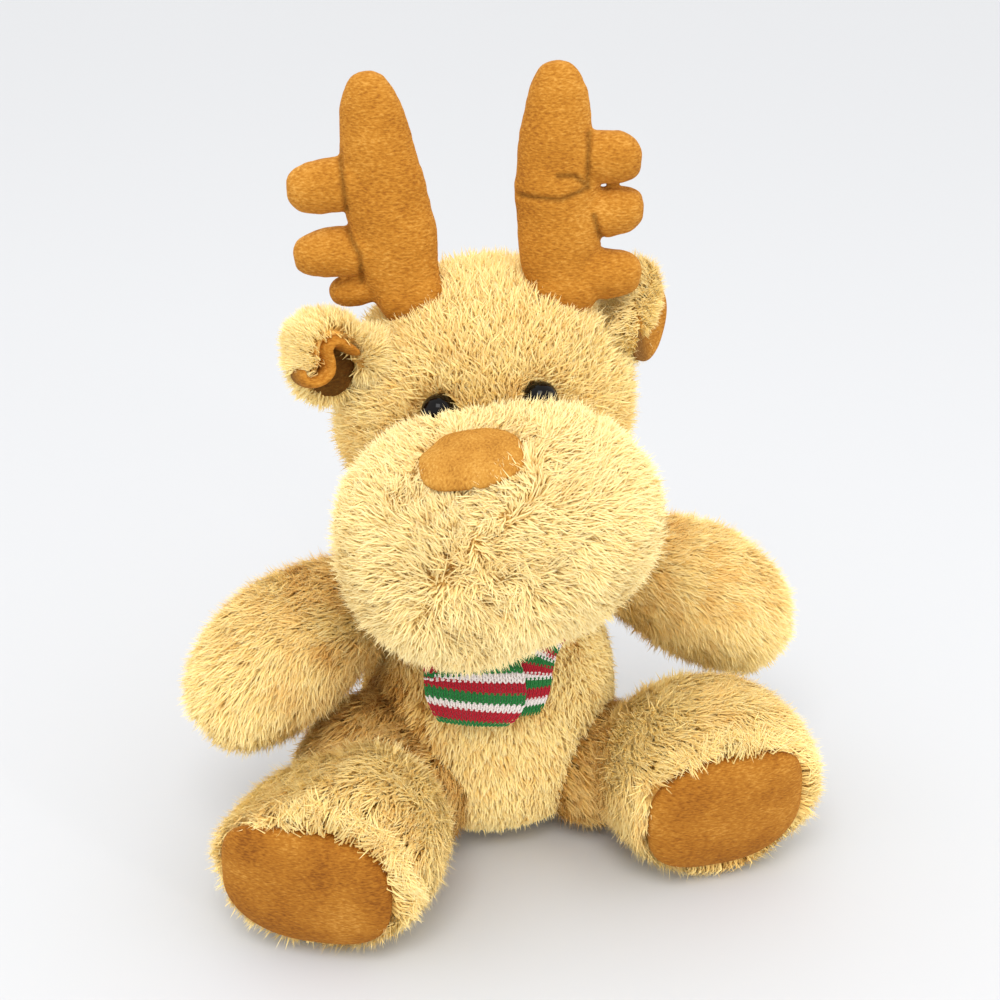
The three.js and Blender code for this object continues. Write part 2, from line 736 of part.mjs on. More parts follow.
// The neck gusset: a ring of backing cloth that slides over the neck's dome, under the head
function makeNeck() {
  const under = neckRadius + slideGap;
  const profile = [];
  const walls = [
    [under, gussetTopAngle, gussetLowAngle],
    [under + gussetWall, gussetLowAngle, gussetTopAngle],
  ];
  for (const [radius, from, to] of walls) {
    for (let step = 0; step <= small.rings; step += 1) {
      const angle = THREE.MathUtils.lerp(from, to, step / small.rings);
      profile.push(new THREE.Vector2(radius * Math.sin(angle), radius * Math.cos(angle)));
    }
  }
  profile.push(profile[0].clone());
  const ring = solid(new THREE.LatheGeometry(profile, sliding.sides).rotateX(Math.PI / 2));
  add(toy, "neck_gusset", ring.translate(...neckCentre), "backing");
}

// A layer of cloth laid on the body between two turns about the neck and two heights
function wrap(turns, heights, low, high, closed = false) {
  const shape = stuffed(torsoForm);
  const collarRadius = neckRadius + gussetWall + slideGap;
  const collar = new THREE.SphereGeometry(collarRadius, sliding.sides, sliding.rings);
  collar.translate(...neckCentre);
  const across = Math.round(fine.sides * (turns[1] - turns[0]) / Math.PI);
  const rows = 2;
  const grid = [];
  for (let spot = 0; spot <= across; spot += 1) {
    const turn = THREE.MathUtils.lerp(...turns, spot / across);
    const outwards = new THREE.Vector3(Math.sin(turn), -Math.cos(turn), 0);
    const [bottom, top] = heights(turn);
    const column = [];
    for (let row = 0; row <= rows; row += 1) {
      const axis = neckCentre.clone().setZ(THREE.MathUtils.lerp(bottom, top, row / rows));
      const from = axis.clone().addScaledVector(outwards, cutReach);
      const places = [shape, collar].map((form) => landing(form, from, axis)).filter(Boolean);
      const place = places.sort((a, b) => a.distanceTo(from) - b.distanceTo(from))[0];
      column.push([place.clone().addScaledVector(outwards, low), place.addScaledVector(outwards, high)]);
    }
    grid.push(column);
  }
  const loops = grid.map((column) => [
    ...column.map(([under]) => under),
    ...column.map(([, over]) => over).reverse(),
  ]);
  return closed ? bandSolid(loops) : solid(cappedMesh(loops));
}

// Loops of points joined into a closed band
function bandSolid(loops) {
  const steps = loops.length - 1;
  return solid(surface(loops.slice(0, steps).flat(), bandFaces(steps, loops[0].length, steps)));
}

function bandFaces(steps, count, wrapAt) {
  const faces = [];
  for (let step = 0; step < steps; step += 1) {
    for (let spot = 0; spot < count; spot += 1) {
      const next = (spot + 1) % count;
      const low = step * count;
      const high = ((step + 1) % wrapAt) * count;
      faces.push(low + spot, low + next, high + next, low + spot, high + next, high + spot);
    }
  }
  return faces;
}

// Loops of points joined into a strip with flat ends
function cappedMesh(loops) {
  const count = loops[0].length;
  const faces = bandFaces(loops.length - 1, count, loops.length);
  const last = (loops.length - 1) * count;
  for (let spot = 0; spot < count / 2 - 1; spot += 1) {
    const facing = count - 1 - spot;
    faces.push(spot, facing, spot + 1, spot + 1, facing, facing - 1);
    faces.push(last + spot, last + spot + 1, last + facing);
    faces.push(last + spot + 1, last + facing - 1, last + facing);
  }
  return surface(loops.flat(), faces);
}

// The scarf: a band round the neck, and two short ends that lap over each other on the chest
function makeScarf() {
  const drop = (turn) => ((1 + Math.cos(turn)) / 2) ** scarfDropPower;
  const bandHeights = (turn) => [0, 1].map((edge) => (
    torsoHeight - THREE.MathUtils.lerp(scarfBackDrops[edge], scarfFrontDrops[edge], drop(turn))));
  const tailHeights = tailDrops.map((tailDrop) => torsoHeight - tailDrop);
  const outside = scarfGap + scarfThickness;
  const lap = scarfThickness * tailLapShare;
  const band = wrap([-Math.PI, Math.PI], bandHeights, scarfGap, outside, true);
  const under = wrap(tailTurnAngle.under, () => tailHeights, scarfGap, outside);
  const over = wrap(tailTurnAngle.over, () => tailHeights, scarfGap + lap, outside + lap);
  const gusset = ball(neckRadius + gussetWall + 2 * slideGap, neckCentre, sliding);
  const worn = stuffedSolid(torsoForm, -seamGap).add(gusset);
  add(toy, "scarf", joined([band, under, over]).subtract(worn), "knit");
}

makeAntler("right", -1);
makeAntler("left", 1);
makeEar("right", -1);
makeEar("left", 1);
makeEyes();
makeHead();
makeNose();
makeArm("right", -1);
makeArm("left", 1);
makeLeg("right", -1);
makeLeg("left", 1);
makeTorso();
makeNeck();
makeScarf();

export default toy;
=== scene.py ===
import json
import math

import bmesh
import bpy
from mathutils import Matrix, Vector, noise
from mathutils.bvhtree import BVHTree

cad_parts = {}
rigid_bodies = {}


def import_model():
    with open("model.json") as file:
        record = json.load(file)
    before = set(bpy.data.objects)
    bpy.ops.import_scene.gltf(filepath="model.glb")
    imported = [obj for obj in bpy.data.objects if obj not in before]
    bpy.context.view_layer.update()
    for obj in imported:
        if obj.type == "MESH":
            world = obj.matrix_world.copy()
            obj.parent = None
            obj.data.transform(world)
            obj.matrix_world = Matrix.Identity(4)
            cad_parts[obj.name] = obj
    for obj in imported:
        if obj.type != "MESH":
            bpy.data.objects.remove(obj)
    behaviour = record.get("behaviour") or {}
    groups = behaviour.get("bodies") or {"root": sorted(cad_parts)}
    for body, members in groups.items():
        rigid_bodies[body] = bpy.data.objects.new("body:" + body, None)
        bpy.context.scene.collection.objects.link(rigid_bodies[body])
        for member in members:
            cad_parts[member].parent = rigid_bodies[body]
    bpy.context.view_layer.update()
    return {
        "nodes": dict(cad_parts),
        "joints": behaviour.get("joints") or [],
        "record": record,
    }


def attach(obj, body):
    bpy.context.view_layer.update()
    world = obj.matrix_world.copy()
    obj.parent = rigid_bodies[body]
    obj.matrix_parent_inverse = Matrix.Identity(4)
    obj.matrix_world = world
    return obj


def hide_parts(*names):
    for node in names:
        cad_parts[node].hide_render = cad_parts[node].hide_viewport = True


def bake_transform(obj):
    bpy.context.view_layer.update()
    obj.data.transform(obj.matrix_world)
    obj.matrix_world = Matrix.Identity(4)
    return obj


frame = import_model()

# Sizes in millimetres, as in the part's source
MM = 0.001
FLOOR_GAP = 0.3 * MM
RIGHT, LEFT = -1, 1
SIDES = {"right": RIGHT, "left": LEFT}
X, Y, Z = Vector((1, 0, 0)), Vector((0, 1, 0)), Vector((0, 0, 1))
FAR = 300  # further than any point of the toy
NOISE_SEED = 2  # unseeded, the vector noise takes its offsets from the clock
noise.seed_set(NOISE_SEED)

PILE_ROOM = 5.0  # from a solid's outside in to the skin that its pile stands on
FILL_ROOM = 7.4  # and in to the filling
SOLE_ROOM = 2  # and at a sole, where no pile stands
TORSO = {"height": 122, "width": 106, "depth": 98, "forward": 5, "lean": 8}
NECK = Vector((8, 7, 102))
NECK_RADIUS = 34
HEAD_TURN, HEAD_TILT = -0.26, -0.12
HEAD = Matrix.Translation(NECK) @ Matrix.Rotation(HEAD_TURN, 4, "Z") @ Matrix.Rotation(HEAD_TILT, 4, "Y")
HEAD_CENTRE = Vector((8, -6, 71))
HEAD_SIZE = Vector((108, 96, 101))
MUZZLE_CENTRE = Vector((5, -66, 39))
MUZZLE_SIZE = (113, 84, 92)
SHOULDER = {"height": 93, "spacing": 79, "setback": 2, "tilt": 0.22}
ARM = {"length": 82, "width": 54, "thickness": 52, "cut": 0.4}
HIP = {"height": 27, "spacing": 76, "forward": 30, "radius": 25}
LEGS = {"right": {"reach": 48, "splay": 0.83, "turn": 0.52}, "left": {"reach": 47, "splay": 0.8, "turn": -0.02}}
# Two distances along the leg from the hip, worked into points for the leg's cover, which is left in place and
# attached to no body
LEG_BEND = (6, 38)
HIP_BULGES = {"right": [(-24, -4, 42), (-48, -18, 38), (-75, -34, 30)]}
THIGH = 42
FOOT = {"width": 82, "height": 69, "length": 68, "sole": 24}
PAD = {"width": 61, "height": 45, "forward": 23}
PADS = {"right": (2.5, -4.5), "left": (1.5, -2.5)}  # each pad's shift inwards and up
NOSE = {"half": 17.5, "shift": -6, "tilt": 1.08, "height": 25, "thickness": 8}
EYES = {"shift": 7.5, "half": 18.3, "height": 81.5, "width": 12}
ANTLER_TILT = 0.11
ANTLER_FILL_ROOM = 2.2
EAR_ROOT = 6.2
CREASE_WIDTH = 0.9
# Tines: root, tip, height, thickness and how far back. Creases are lines on the front face.
ANTLERS = {
    "right": {"beam": [(-1, -13), (-1, 4), (0.5, 32), (2, 54), (4.5, 78.5)],
              "tines": [((0, 42), (-32.5, 45.5), 18.5, 17, 0), ((0, 18), (-36.5, 22), 17.5, 17, 0),
                        ((0, 5), (-27.5, 5), 12, 13, 3)],
              "creases": [[(-10.6, 54.5), (-12, 44.3), (-13.5, 35)], [(-15.7, 30.9), (-12.9, 18.6), (-15, 8.7)]]},
    "left": {"beam": [(0, -13), (-1, 4), (-2.5, 36), (-2.7, 58), (-1.5, 78.5)],
             "tines": [((0, 47), (27, 44), 18, 17, 0), ((0, 25), (28.3, 26.5), 17.5, 17, 1),
                       ((0, 5), (27.5, 3), 18, 17, 0)],
             "creases": [[(8.2, 54.2), (7.4, 46), (7.8, 37)], [(8.2, 36), (-2.2, 32.7), (-15.7, 33.7)],
                         [(9.8, 26.1), (11.8, 19.7), (13.6, 16.5)], [(7.8, 36.3), (3, 40.6), (-2.9, 40.7)]]},
}
# The lining runs along its line, with its width on its broad axis. Each furry form has its line, its
# broad axis, its width and its thickness. A dish has its depth, its middle and how far it spreads.
EARS = {
    "right": {"reach": (-0.85, -0.5, 0.2), "cavity": (-3, -9, 16), "broad": (0, 1, 0), "size": (16, 4.4),
              "line": [(1.5, -3, 7), (5.2, -3, 13.5), (7.1, -3, 17.7), (5.1, -3, 20.8), (0.2, -3, 19.9),
                       (-3.3, -3, 20.1), (-6.3, -3, 23.2), (-6.9, -3, 27.1), (-4.8, -3, 29.6), (-2.4, -3, 28.2)],
              "fur": [([(-2, 8.5, 2), (-2, 8.5, 23)], X, 24, 9)], "dish": None,
              "floor": ([(-5, 3.5, 4), (-4, 3.5, 23)], X, 20, 3)},
    "left": {"reach": (0.52, 0.85, 0.05), "cavity": (2.5, -12, 17), "broad": (0, 0, 1), "size": (32, 3.6),
             "line": [(-11, -2.5, 14.5), (1, -3, 12), (15, 1, 3)],
             "fur": [([(-14, 2, 18), (14, 3, 6)], Z, 25, 12),
                     ([(-15, -1, 19), (-11, -4, 13), (-7, -6, 6), (-4, -6, 1), (-1, -5, -4), (4, -3, -7)],
                      Y, 10, 11)],
             "dish": (4.0, (1, 12), (13, 16))},
}
JOINTS = {joint["name"]: joint for joint in frame["joints"]}


def straight(start, end):
    return [start, (start + end) / 2, end]


def vectors(points):
    return [Vector(point) for point in points]


def in_head(*direction):
    return HEAD.to_3x3() @ Vector(direction)


def joint_at(name):
    return Vector(JOINTS[name]["pos_m"]) / MM


def colour(hexa):
    """An sRGB hex value as a linear colour."""
    parts = [int(hexa[i:i + 2], 16) / 255 for i in (1, 3, 5)]
    return tuple(p / 12.92 if p <= 0.04045 else ((p + 0.055) / 1.055) ** 2.4 for p in parts) + (1,)


def put(tree, kind, settings=None, links=None):
    """One node with its settings, its input values and the sockets that feed it."""
    node = tree.nodes.new(kind)
    for key, value in (settings or {}).items():
        setattr(node, key, value)
    for key, value in (links or {}).items():
        if isinstance(value, bpy.types.NodeSocket):
            tree.links.new(value, node.inputs[key])
        else:
            node.inputs[key].default_value = value
    return node


def ramped(tree, value, colours):
    """A colour ramp, given its colours by place."""
    node = put(tree, "ShaderNodeValToRGB", links={"Fac": value})
    ramp = node.color_ramp
    while len(ramp.elements) < len(colours):
        ramp.elements.new(0.5)
    for element, (place, hexa) in zip(ramp.elements, sorted(colours.items())):
        element.position = place
        element.color = colour(hexa)
    return node


def maths(tree, operation, *values):
    return put(tree, "ShaderNodeMath", {"operation": operation}, dict(enumerate(values))).outputs[0]


def scaled(tree, vector, scale):
    return put(tree, "ShaderNodeVectorMath", {"operation": "SCALE"}, {0: vector, "Scale": scale}).outputs[0]


def stretched(tree, vector, factors):
    return put(tree, "ShaderNodeVectorMath", {"operation": "MULTIPLY"}, {0: vector, 1: factors}).outputs[0]


# Forms

def share_at(shares, along):
    """A smooth value along a table of shares, from its first at 0 to its last at 1."""
    place = along * (len(shares) - 1)
    index = min(int(place), len(shares) - 2)
    start, end = shares[index], shares[index + 1]
    leave = (end - shares[max(index - 1, 0)]) / 2
    arrive = (shares[min(index + 2, len(shares) - 1)] - start) / 2
    part = place - index
    return (start * (2 * part ** 3 - 3 * part ** 2 + 1) + end * (3 * part ** 2 - 2 * part ** 3)
            + leave * (part ** 3 - 2 * part ** 2 + part) + arrive * (part ** 3 - part ** 2))


def smooth_line(points, count=160, fine=60):
    """Points of a smooth curve through a few places, evenly spaced along it, and its length. It is
    first laid out in fine steps between each two places."""
    places = [2 * points[0] - points[1], *points, 2 * points[-1] - points[-2]]
    dense = []
    for index in range(len(points) - 1):
        p0, p1, p2, p3 = places[index:index + 4]
        d0, d1, d2 = ((b - a).length ** 0.5 for a, b in ((p0, p1), (p1, p2), (p2, p3)))
        t1 = ((p1 - p0) / d0 - (p2 - p0) / (d0 + d1) + (p2 - p1) / d1) * d1
        t2 = ((p2 - p1) / d1 - (p3 - p1) / (d1 + d2) + (p3 - p2) / d2) * d1
        for step in range(fine):
            t = step / fine
            dense.append(p1 + t1 * t + (3 * (p2 - p1) - 2 * t1 - t2) * t * t
                         + (2 * (p1 - p2) + t1 + t2) * t ** 3)
    dense.append(points[-1].copy())
    lengths = [0]
    for a, b in zip(dense, dense[1:]):
        lengths.append(lengths[-1] + (b - a).length)
    even = []
    spot = 0
    for step in range(count + 1):
        want = lengths[-1] * step / count
        while spot < len(dense) - 2 and lengths[spot + 1] < want:
            spot += 1
        part = (want - lengths[spot]) / max(lengths[spot + 1] - lengths[spot], 1e-9)
        even.append(dense[spot].lerp(dense[spot + 1], part))
    return even, lengths[-1]


def stuffed(line, across, width, thickness, widths=(1, 1), thicknesses=None, ends=(2, 2), inset=0,
            rings=34, sides=56):
    """A stuffed form: oval rings along a smooth line, full in the middle and round at both ends.
    The shares of its width and thickness are spread evenly along it, and a higher power of an end
    makes that end blunter."""
    thicknesses = thicknesses or widths
    even, length = smooth_line(line)
    count = len(even) - 1

    def reach_to(spot):
        on = min(max(spot, 0), 1)
        index = min(int(on * count), count - 1)
        point = even[index].lerp(even[index + 1], on * count - index)
        tangent = (even[min(index + 2, count)] - even[max(index - 1, 0)]).normalized()
        return point + tangent * (spot - on) * length, tangent

    trim = inset / length
    verts = [reach_to(trim)[0]]
    for ring in range(1, rings):
        along = (1 - math.cos(math.pi * ring / rings)) / 2
        reach = abs(2 * along - 1)
        power = ends[0] if along < 0.5 else ends[1]
        swell = (1 - reach ** power) ** (1 / power)
        centre, tangent = reach_to(trim + along * (1 - 2 * trim))
        up = tangent.cross(across).normalized()
        side = up.cross(tangent).normalized()
        half_width = (width / 2 * share_at(widths, along) - inset) * swell
        half_thickness = (thickness / 2 * share_at(thicknesses, along) - inset) * swell
        for step in range(sides):
            angle = 2 * math.pi * step / sides
            verts.append(centre + side * half_width * math.cos(angle) + up * half_thickness * math.sin(angle))
    verts.append(reach_to(1 - trim)[0])
    last = len(verts) - 1
    faces = []
    for spot in range(sides):
        after = (spot + 1) % sides
        faces.append((0, 1 + after, 1 + spot))
        faces.append((last, last - sides + spot, last - sides + after))
        for low in range(1, last - sides, sides):
            high = low + sides
            faces.append((low + spot, low + after, high + after, high + spot))
    return verts, faces


def ball(radius, centre=Vector((0, 0, 0))):
    reach = Z * radius
    return stuffed(straight(centre - reach, centre + reach), X, 2 * radius, 2 * radius)


def to_segment(point, start, end):
    along = (point - start).dot(end - start) / (end - start).length_squared
    return (point - start.lerp(end, min(max(along, 0), 1))).length


def block_beyond(direction, point):
    """A block on the far side of a plane through a point."""
    bm = bmesh.new()
    bmesh.ops.create_cube(bm, size=FAR)
    turn = Z.rotation_difference(direction).to_matrix().to_4x4()
    bm.transform(Matrix.Translation(point) @ turn @ Matrix.Translation((0, 0, FAR / 2)))
    verts = [v.co.copy() for v in bm.verts]
    faces = [tuple(v.index for v in f.verts) for f in bm.faces]
    bm.free()
    return verts, faces


def linked(name, data):
    """A new object at the origin, in the scene."""
    piece = bpy.data.objects.new(name, data)
    bpy.context.scene.collection.objects.link(piece)
    return piece


def smoothed(mesh):
    mesh.polygons.foreach_set("use_smooth", [True] * len(mesh.polygons))


def write(mesh, name, values, kind="FLOAT"):
    """Gives each point of a mesh a value, or the three of a vector."""
    slot = "vector" if kind == "FLOAT_VECTOR" else "value"
    mesh.attributes.new(name, kind, "POINT").data.foreach_set(slot, values)


def piece_from(name, forms, place=None, smooth=True):
    """An object at the origin holding one or more forms, given in millimetres."""
    matrix = Matrix.Scale(MM, 4) @ (place or Matrix())
    bm = bmesh.new()
    for verts, faces in forms:
        made = [bm.verts.new(matrix @ v) for v in verts]
        for face in faces:
            bm.faces.new([made[i] for i in face])
    bmesh.ops.recalc_face_normals(bm, faces=bm.faces)
    mesh = bpy.data.meshes.new(name)
    bm.to_mesh(mesh)
    bm.free()
    if smooth:
        smoothed(mesh)
    return linked(name, mesh)


def settled(piece):
    """The piece with its modifiers turned into plain mesh."""
    graph = bpy.context.evaluated_depsgraph_get()
    mesh = bpy.data.meshes.new_from_object(piece.evaluated_get(graph), depsgraph=graph)
    old = piece.data
    piece.modifiers.clear()
    piece.data = mesh
    mesh.name = piece.name
    if old.users == 0:
        bpy.data.meshes.remove(old)
    smoothed(mesh)
    return piece


def fused(piece, voxel, rounds=4):
    """One closed skin, of a voxel's fineness, from forms that run into each other, smoothed in rounds."""
    remesh = piece.modifiers.new("skin", "REMESH")
    remesh.mode = "VOXEL"
    remesh.voxel_size = voxel * MM
    soften = piece.modifiers.new("soften", "SMOOTH")
    soften.factor = 0.5
    soften.iterations = rounds
    return settled(piece)


def carved(piece, cutters, place=None):
    """The piece with other forms cut out of it."""
    for number, form in enumerate(cutters):
        cutter = piece_from(f"{piece.name}_cut_{number}", [form], place)
        cut = piece.modifiers.new("cut", "BOOLEAN")
        cut.operation = "DIFFERENCE"
        cut.solver = "EXACT"
        cut.object = cutter
        settled(piece)
        bpy.data.objects.remove(cutter)
    return piece


def dressed(piece, material):
    piece.data.materials.clear()
    piece.data.materials.append(material)
    return piece


# Cloths

def new_material(name):
    material = bpy.data.materials.new(name)
    material.use_nodes = True
    material.node_tree.nodes.clear()
    return material, material.node_tree


def finished(tree, values):
    shader = put(tree, "ShaderNodeBsdfPrincipled", links=values)
    put(tree, "ShaderNodeOutputMaterial", links={"Surface": shader.outputs["BSDF"]})


def blended(tree, value, low, high, start, end):
    """One colour up to a value, another from a second value on."""
    share = put(tree, "ShaderNodeMapRange", {"interpolation_type": "SMOOTHSTEP"},
                {"Value": value, "From Min": low, "From Max": high})
    return put(tree, "ShaderNodeMix", {"data_type": "RGBA"},
               {"Factor": share.outputs[0], 6: start, 7: end}).outputs[2]


def bumped(tree, height, depth):
    return put(tree, "ShaderNodeBump",
               links={"Height": height, "Strength": 1.0, "Distance": depth * MM}).outputs["Normal"]


def long_pile(name, painted_crease_shade, dark, light):
    """Acrylic fur, knitted and brushed up: each fibre is deep at its root and pale at its tip, and
    the locks run from dark to light by their tone. Where the tone is lowest they turn brown: painted
    shade in creases and folds, and a few dark flecks. Soft and full, with hardly a gloss."""
    material, tree = new_material(name)
    strand = put(tree, "ShaderNodeUVMap", {"uv_map": "OFBake"}).outputs["UV"]
    parts = put(tree, "ShaderNodeSeparateXYZ", links={0: strand})
    brown, deep, pale = (ramped(tree, parts.outputs["Y"], colours).outputs["Color"]
                         for colours in (painted_crease_shade, dark, light))
    fibres = put(tree, "ShaderNodeTexNoise",
                 links={"Vector": stretched(tree, strand, (420.0, 1.5, 0.0)), "Scale": 1.0, "Detail": 2.0})
    tone = maths(tree, "MULTIPLY_ADD", fibres.outputs["Fac"], 0.36, parts.outputs["X"])
    combed_up = blended(tree, tone, 0.22, 1.0, deep, pale)
    finished(tree, {"Base Color": blended(tree, tone, 0.15, 0.39, brown, combed_up), "Roughness": 0.85,
                    "Specular IOR Level": 0.1})
    return material


def cloth(name, colours, grain, stretch=(1, 1, 1), drift=60.0, depth=0.3, roughness=0.9, sheen=0.3,
          cells=False, contrast=0.5):
    """A cloth or filling seen by its grain: a fine pattern and a slow drift share one colour ramp,
    and the fine pattern also makes the bump. Its colour is darkened by the fold value a piece carries:
    painted shade in its creases and hollows."""
    material, tree = new_material(name)
    place = put(tree, "ShaderNodeTexCoord").outputs["Object"]
    fine = put(tree, "ShaderNodeTexVoronoi" if cells else "ShaderNodeTexNoise",
               links={"Vector": stretched(tree, place, stretch), "Scale": grain})
    pattern = fine.outputs["Distance" if cells else "Fac"]
    slow = put(tree, "ShaderNodeTexNoise", links={"Vector": place, "Scale": drift, "Detail": 3.0})
    tone = put(tree, "ShaderNodeMix", {"data_type": "FLOAT"},
               {"Factor": contrast, 2: slow.outputs["Fac"], 3: pattern})
    shade = ramped(tree, tone.outputs[0], colours)
    fold = put(tree, "ShaderNodeAttribute", {"attribute_name": "fold"})
    dimmed = maths(tree, "MULTIPLY_ADD", fold.outputs["Fac"], -0.75, 1.0)
    finished(tree, {"Base Color": scaled(tree, shade.outputs["Color"], dimmed), "Roughness": roughness,
                    "Specular IOR Level": 0.2, "Sheen Weight": sheen, "Sheen Roughness": 0.4,
                    "Sheen Tint": colour(colours[max(colours)]), "Normal": bumped(tree, pattern, depth)})
    return material


def yarn_cloth(name, colours):
    """Knitted acrylic yarn in stripes: the colour is read from the piece's own UV map, one band to a
    colour, and a fine twist runs over it. Matt, with a faint fuzz."""
    material, tree = new_material(name)
    strand = put(tree, "ShaderNodeUVMap", {"uv_map": "OFBake"})
    parts = put(tree, "ShaderNodeSeparateXYZ", links={0: strand.outputs["UV"]})
    stripe = ramped(tree, parts.outputs["X"], colours)
    stripe.color_ramp.interpolation = "CONSTANT"
    place = put(tree, "ShaderNodeTexCoord").outputs["Object"]
    fuzz = put(tree, "ShaderNodeTexNoise", links={"Vector": place, "Scale": 2600.0, "Detail": 2.0})
    soft = put(tree, "ShaderNodeMapRange", links={"Value": fuzz.outputs["Fac"], "From Min": 0.3, "From Max": 0.7,
                                                  "To Min": 0.72, "To Max": 1.12})
    finished(tree, {"Base Color": scaled(tree, stripe.outputs["Color"], soft.outputs[0]), "Roughness": 0.9,
                    "Specular IOR Level": 0.2, "Sheen Weight": 0.3, "Sheen Roughness": 0.5,
                    "Normal": bumped(tree, fuzz.outputs["Fac"], 0.15)})
    return material


golden_pile = long_pile("golden_long_pile", {0.0: "#8a5118", 0.5: "#a96f2a", 1.0: "#cf9a4c"},
                        {0.0: "#e0a545", 0.45: "#efbe62", 1.0: "#f8d284"},
                        {0.0: "#f8cc6c", 0.35: "#fcdb88", 0.75: "#ffe79f", 1.0: "#fff0bc"})
cream_pile = long_pile("cream_long_pile", {0.0: "#a06a2a", 0.5: "#bb8440", 1.0: "#dcac60"},
                       {0.0: "#e8b75c", 0.45: "#f3cc7c", 1.0: "#fbe09c"},
                       {0.0: "#f4cd7a", 0.35: "#f9da8f", 0.75: "#fce6a6", 1.0: "#feeebc"})
golden_ground = cloth("golden_pile_ground", {0.3: "#e3ab50", 0.7: "#f0c26c"}, 900.0, cells=True, sheen=0.0)
cream_ground = cloth("cream_pile_ground", {0.3: "#ebbb66", 0.7: "#f7d488"}, 900.0, cells=True, sheen=0.0)
velboa = cloth("caramel_velboa", {0.3: "#8f5516", 0.45: "#ab6e1f", 0.56: "#ba7d2b", 0.72: "#d29845"},
               1100.0, (0.55, 0.7, 1.4), drift=40.0, depth=0.45, sheen=0.3, contrast=0.66)
nose_velboa = cloth("pale_caramel_velboa", {0.32: "#94601f", 0.46: "#b27a2e", 0.56: "#bf8838", 0.7: "#d29f50"},
                    1300.0, (1, 1, 0.7), drift=90.0, depth=0.4, sheen=0.2, contrast=0.55)
combed_velboa = cloth("caramel_velboa_combed", {0.34: "#7b4610", 0.46: "#9b601a", 0.56: "#ab7024", 0.7: "#c88f40"},
                      1200.0, (0.5, 0.5, 1.6), drift=45.0, depth=0.4, sheen=0.3, contrast=0.5)
wadding = cloth("fibre_wadding", {0.3: "#e4e1d8", 0.7: "#faf9f5"}, 700.0, depth=0.8, roughness=1.0)
pellets = cloth("plastic_pellets_in_a_bag", {0.1: "#b9b6ac", 0.6: "#e6e4dc"}, 320.0, cells=True, depth=0.8,
                roughness=0.7, sheen=0.0)
backing = cloth("woven_backing_cloth", {0.3: "#b58a4a", 0.7: "#e0bb7c"}, 1400.0, (1, 1, 0.4), depth=0.2)
moulding = cloth("moulded_washer_plastic", {0.3: "#d6d3c9", 0.7: "#efede6"}, 260.0, depth=0.05,
                 roughness=0.45, sheen=0.0)
yarn = yarn_cloth("striped_knit_yarn", {0.0: "#efe6e2", 0.3333: "#b01026", 0.6667: "#1d7836"})

gloss, gloss_tree = new_material("polished_eye")
place = put(gloss_tree, "ShaderNodeTexCoord").outputs["Object"]
depths = put(gloss_tree, "ShaderNodeTexNoise", links={"Vector": place, "Scale": 180.0})
tints = ramped(gloss_tree, depths.outputs["Fac"], {0.35: "#040303", 0.8: "#120a07"})
finished(gloss_tree, {"Base Color": tints.outputs["Color"], "Roughness": 0.1, "Specular IOR Level": 0.16})


# Things that repeat, set on a surface by Geometry Nodes

def unit_shapes(name, shapes):
    """Small meshes to be repeated, in a collection that the scene doesn't show."""
    group = bpy.data.collections.new(name)
    for number, (verts, faces, uvs, alongs) in enumerate(shapes):
        mesh = bpy.data.meshes.new(f"{name}_{number}")
        mesh.from_pydata(verts, [], faces)
        layer = mesh.uv_layers.new(name="OFBake")
        for loop in mesh.loops:
            layer.uv[loop.index].vector = uvs[loop.vertex_index]
        write(mesh, "along", alongs)
        smoothed(mesh)
        group.objects.link(bpy.data.objects.new(f"{name}_{number}", mesh))
    return group


def lock(low, high, sway=0.0):
    """A flat tapered lock of fur that stands on the skin, bends over towards +X and sways sideways."""
    widths = (0.85, 1.0, 0.0)
    rows = len(widths)
    verts, uvs, alongs = [], [], []
    place = Vector((0, 0, 0))
    for row, width in enumerate(widths):
        along = row / (rows - 1)
        if row:
            lean = low + (high - low) * (row - 1) / (rows - 2)
            place = place + Vector((math.sin(lean), sway * (row - 1.5), math.cos(lean))) / (rows - 1)
        for edge in ((-0.5, 0.5) if width else (0,)):
            verts.append(place + Y * edge * (width or 1))
            uvs.append((0.012 * edge, 0.02 + 0.96 * along))
            alongs.append(along)
    return verts, [(0, 2, 3, 1), (2, 4, 3)], uvs, alongs


def stitch():
    """One knitted stitch: two plump legs that meet at its foot."""
    verts, faces = [], []
    for side in (RIGHT, LEFT):
        line = [Vector((0.95, side * 0.3, 0)), Vector((0.1, side * 0.26, 0.12)), Vector((-0.75, side * 0.08, 0))]
        more, these = stuffed(line, Z, 0.42, 0.5, rings=4, sides=5)
        faces += [tuple(i + len(verts) for i in face) for face in these]
        verts += more
    return verts, faces, [(0.01 * v.x, 0.5 + 0.4 * v.x) for v in verts], [0.5 for _ in verts]


LOCKS = unit_shapes("locks", [lock(0.1, 1.2, 0.5), lock(-0.3, 1.0, -0.5), lock(0.5, 0.2, 0.3),
                              lock(0.3, 0.9, -0.2), lock(0.0, 1.5, 0.1), lock(0.7, 0.4, -0.7)])
STITCH = unit_shapes("stitch", [stitch()])


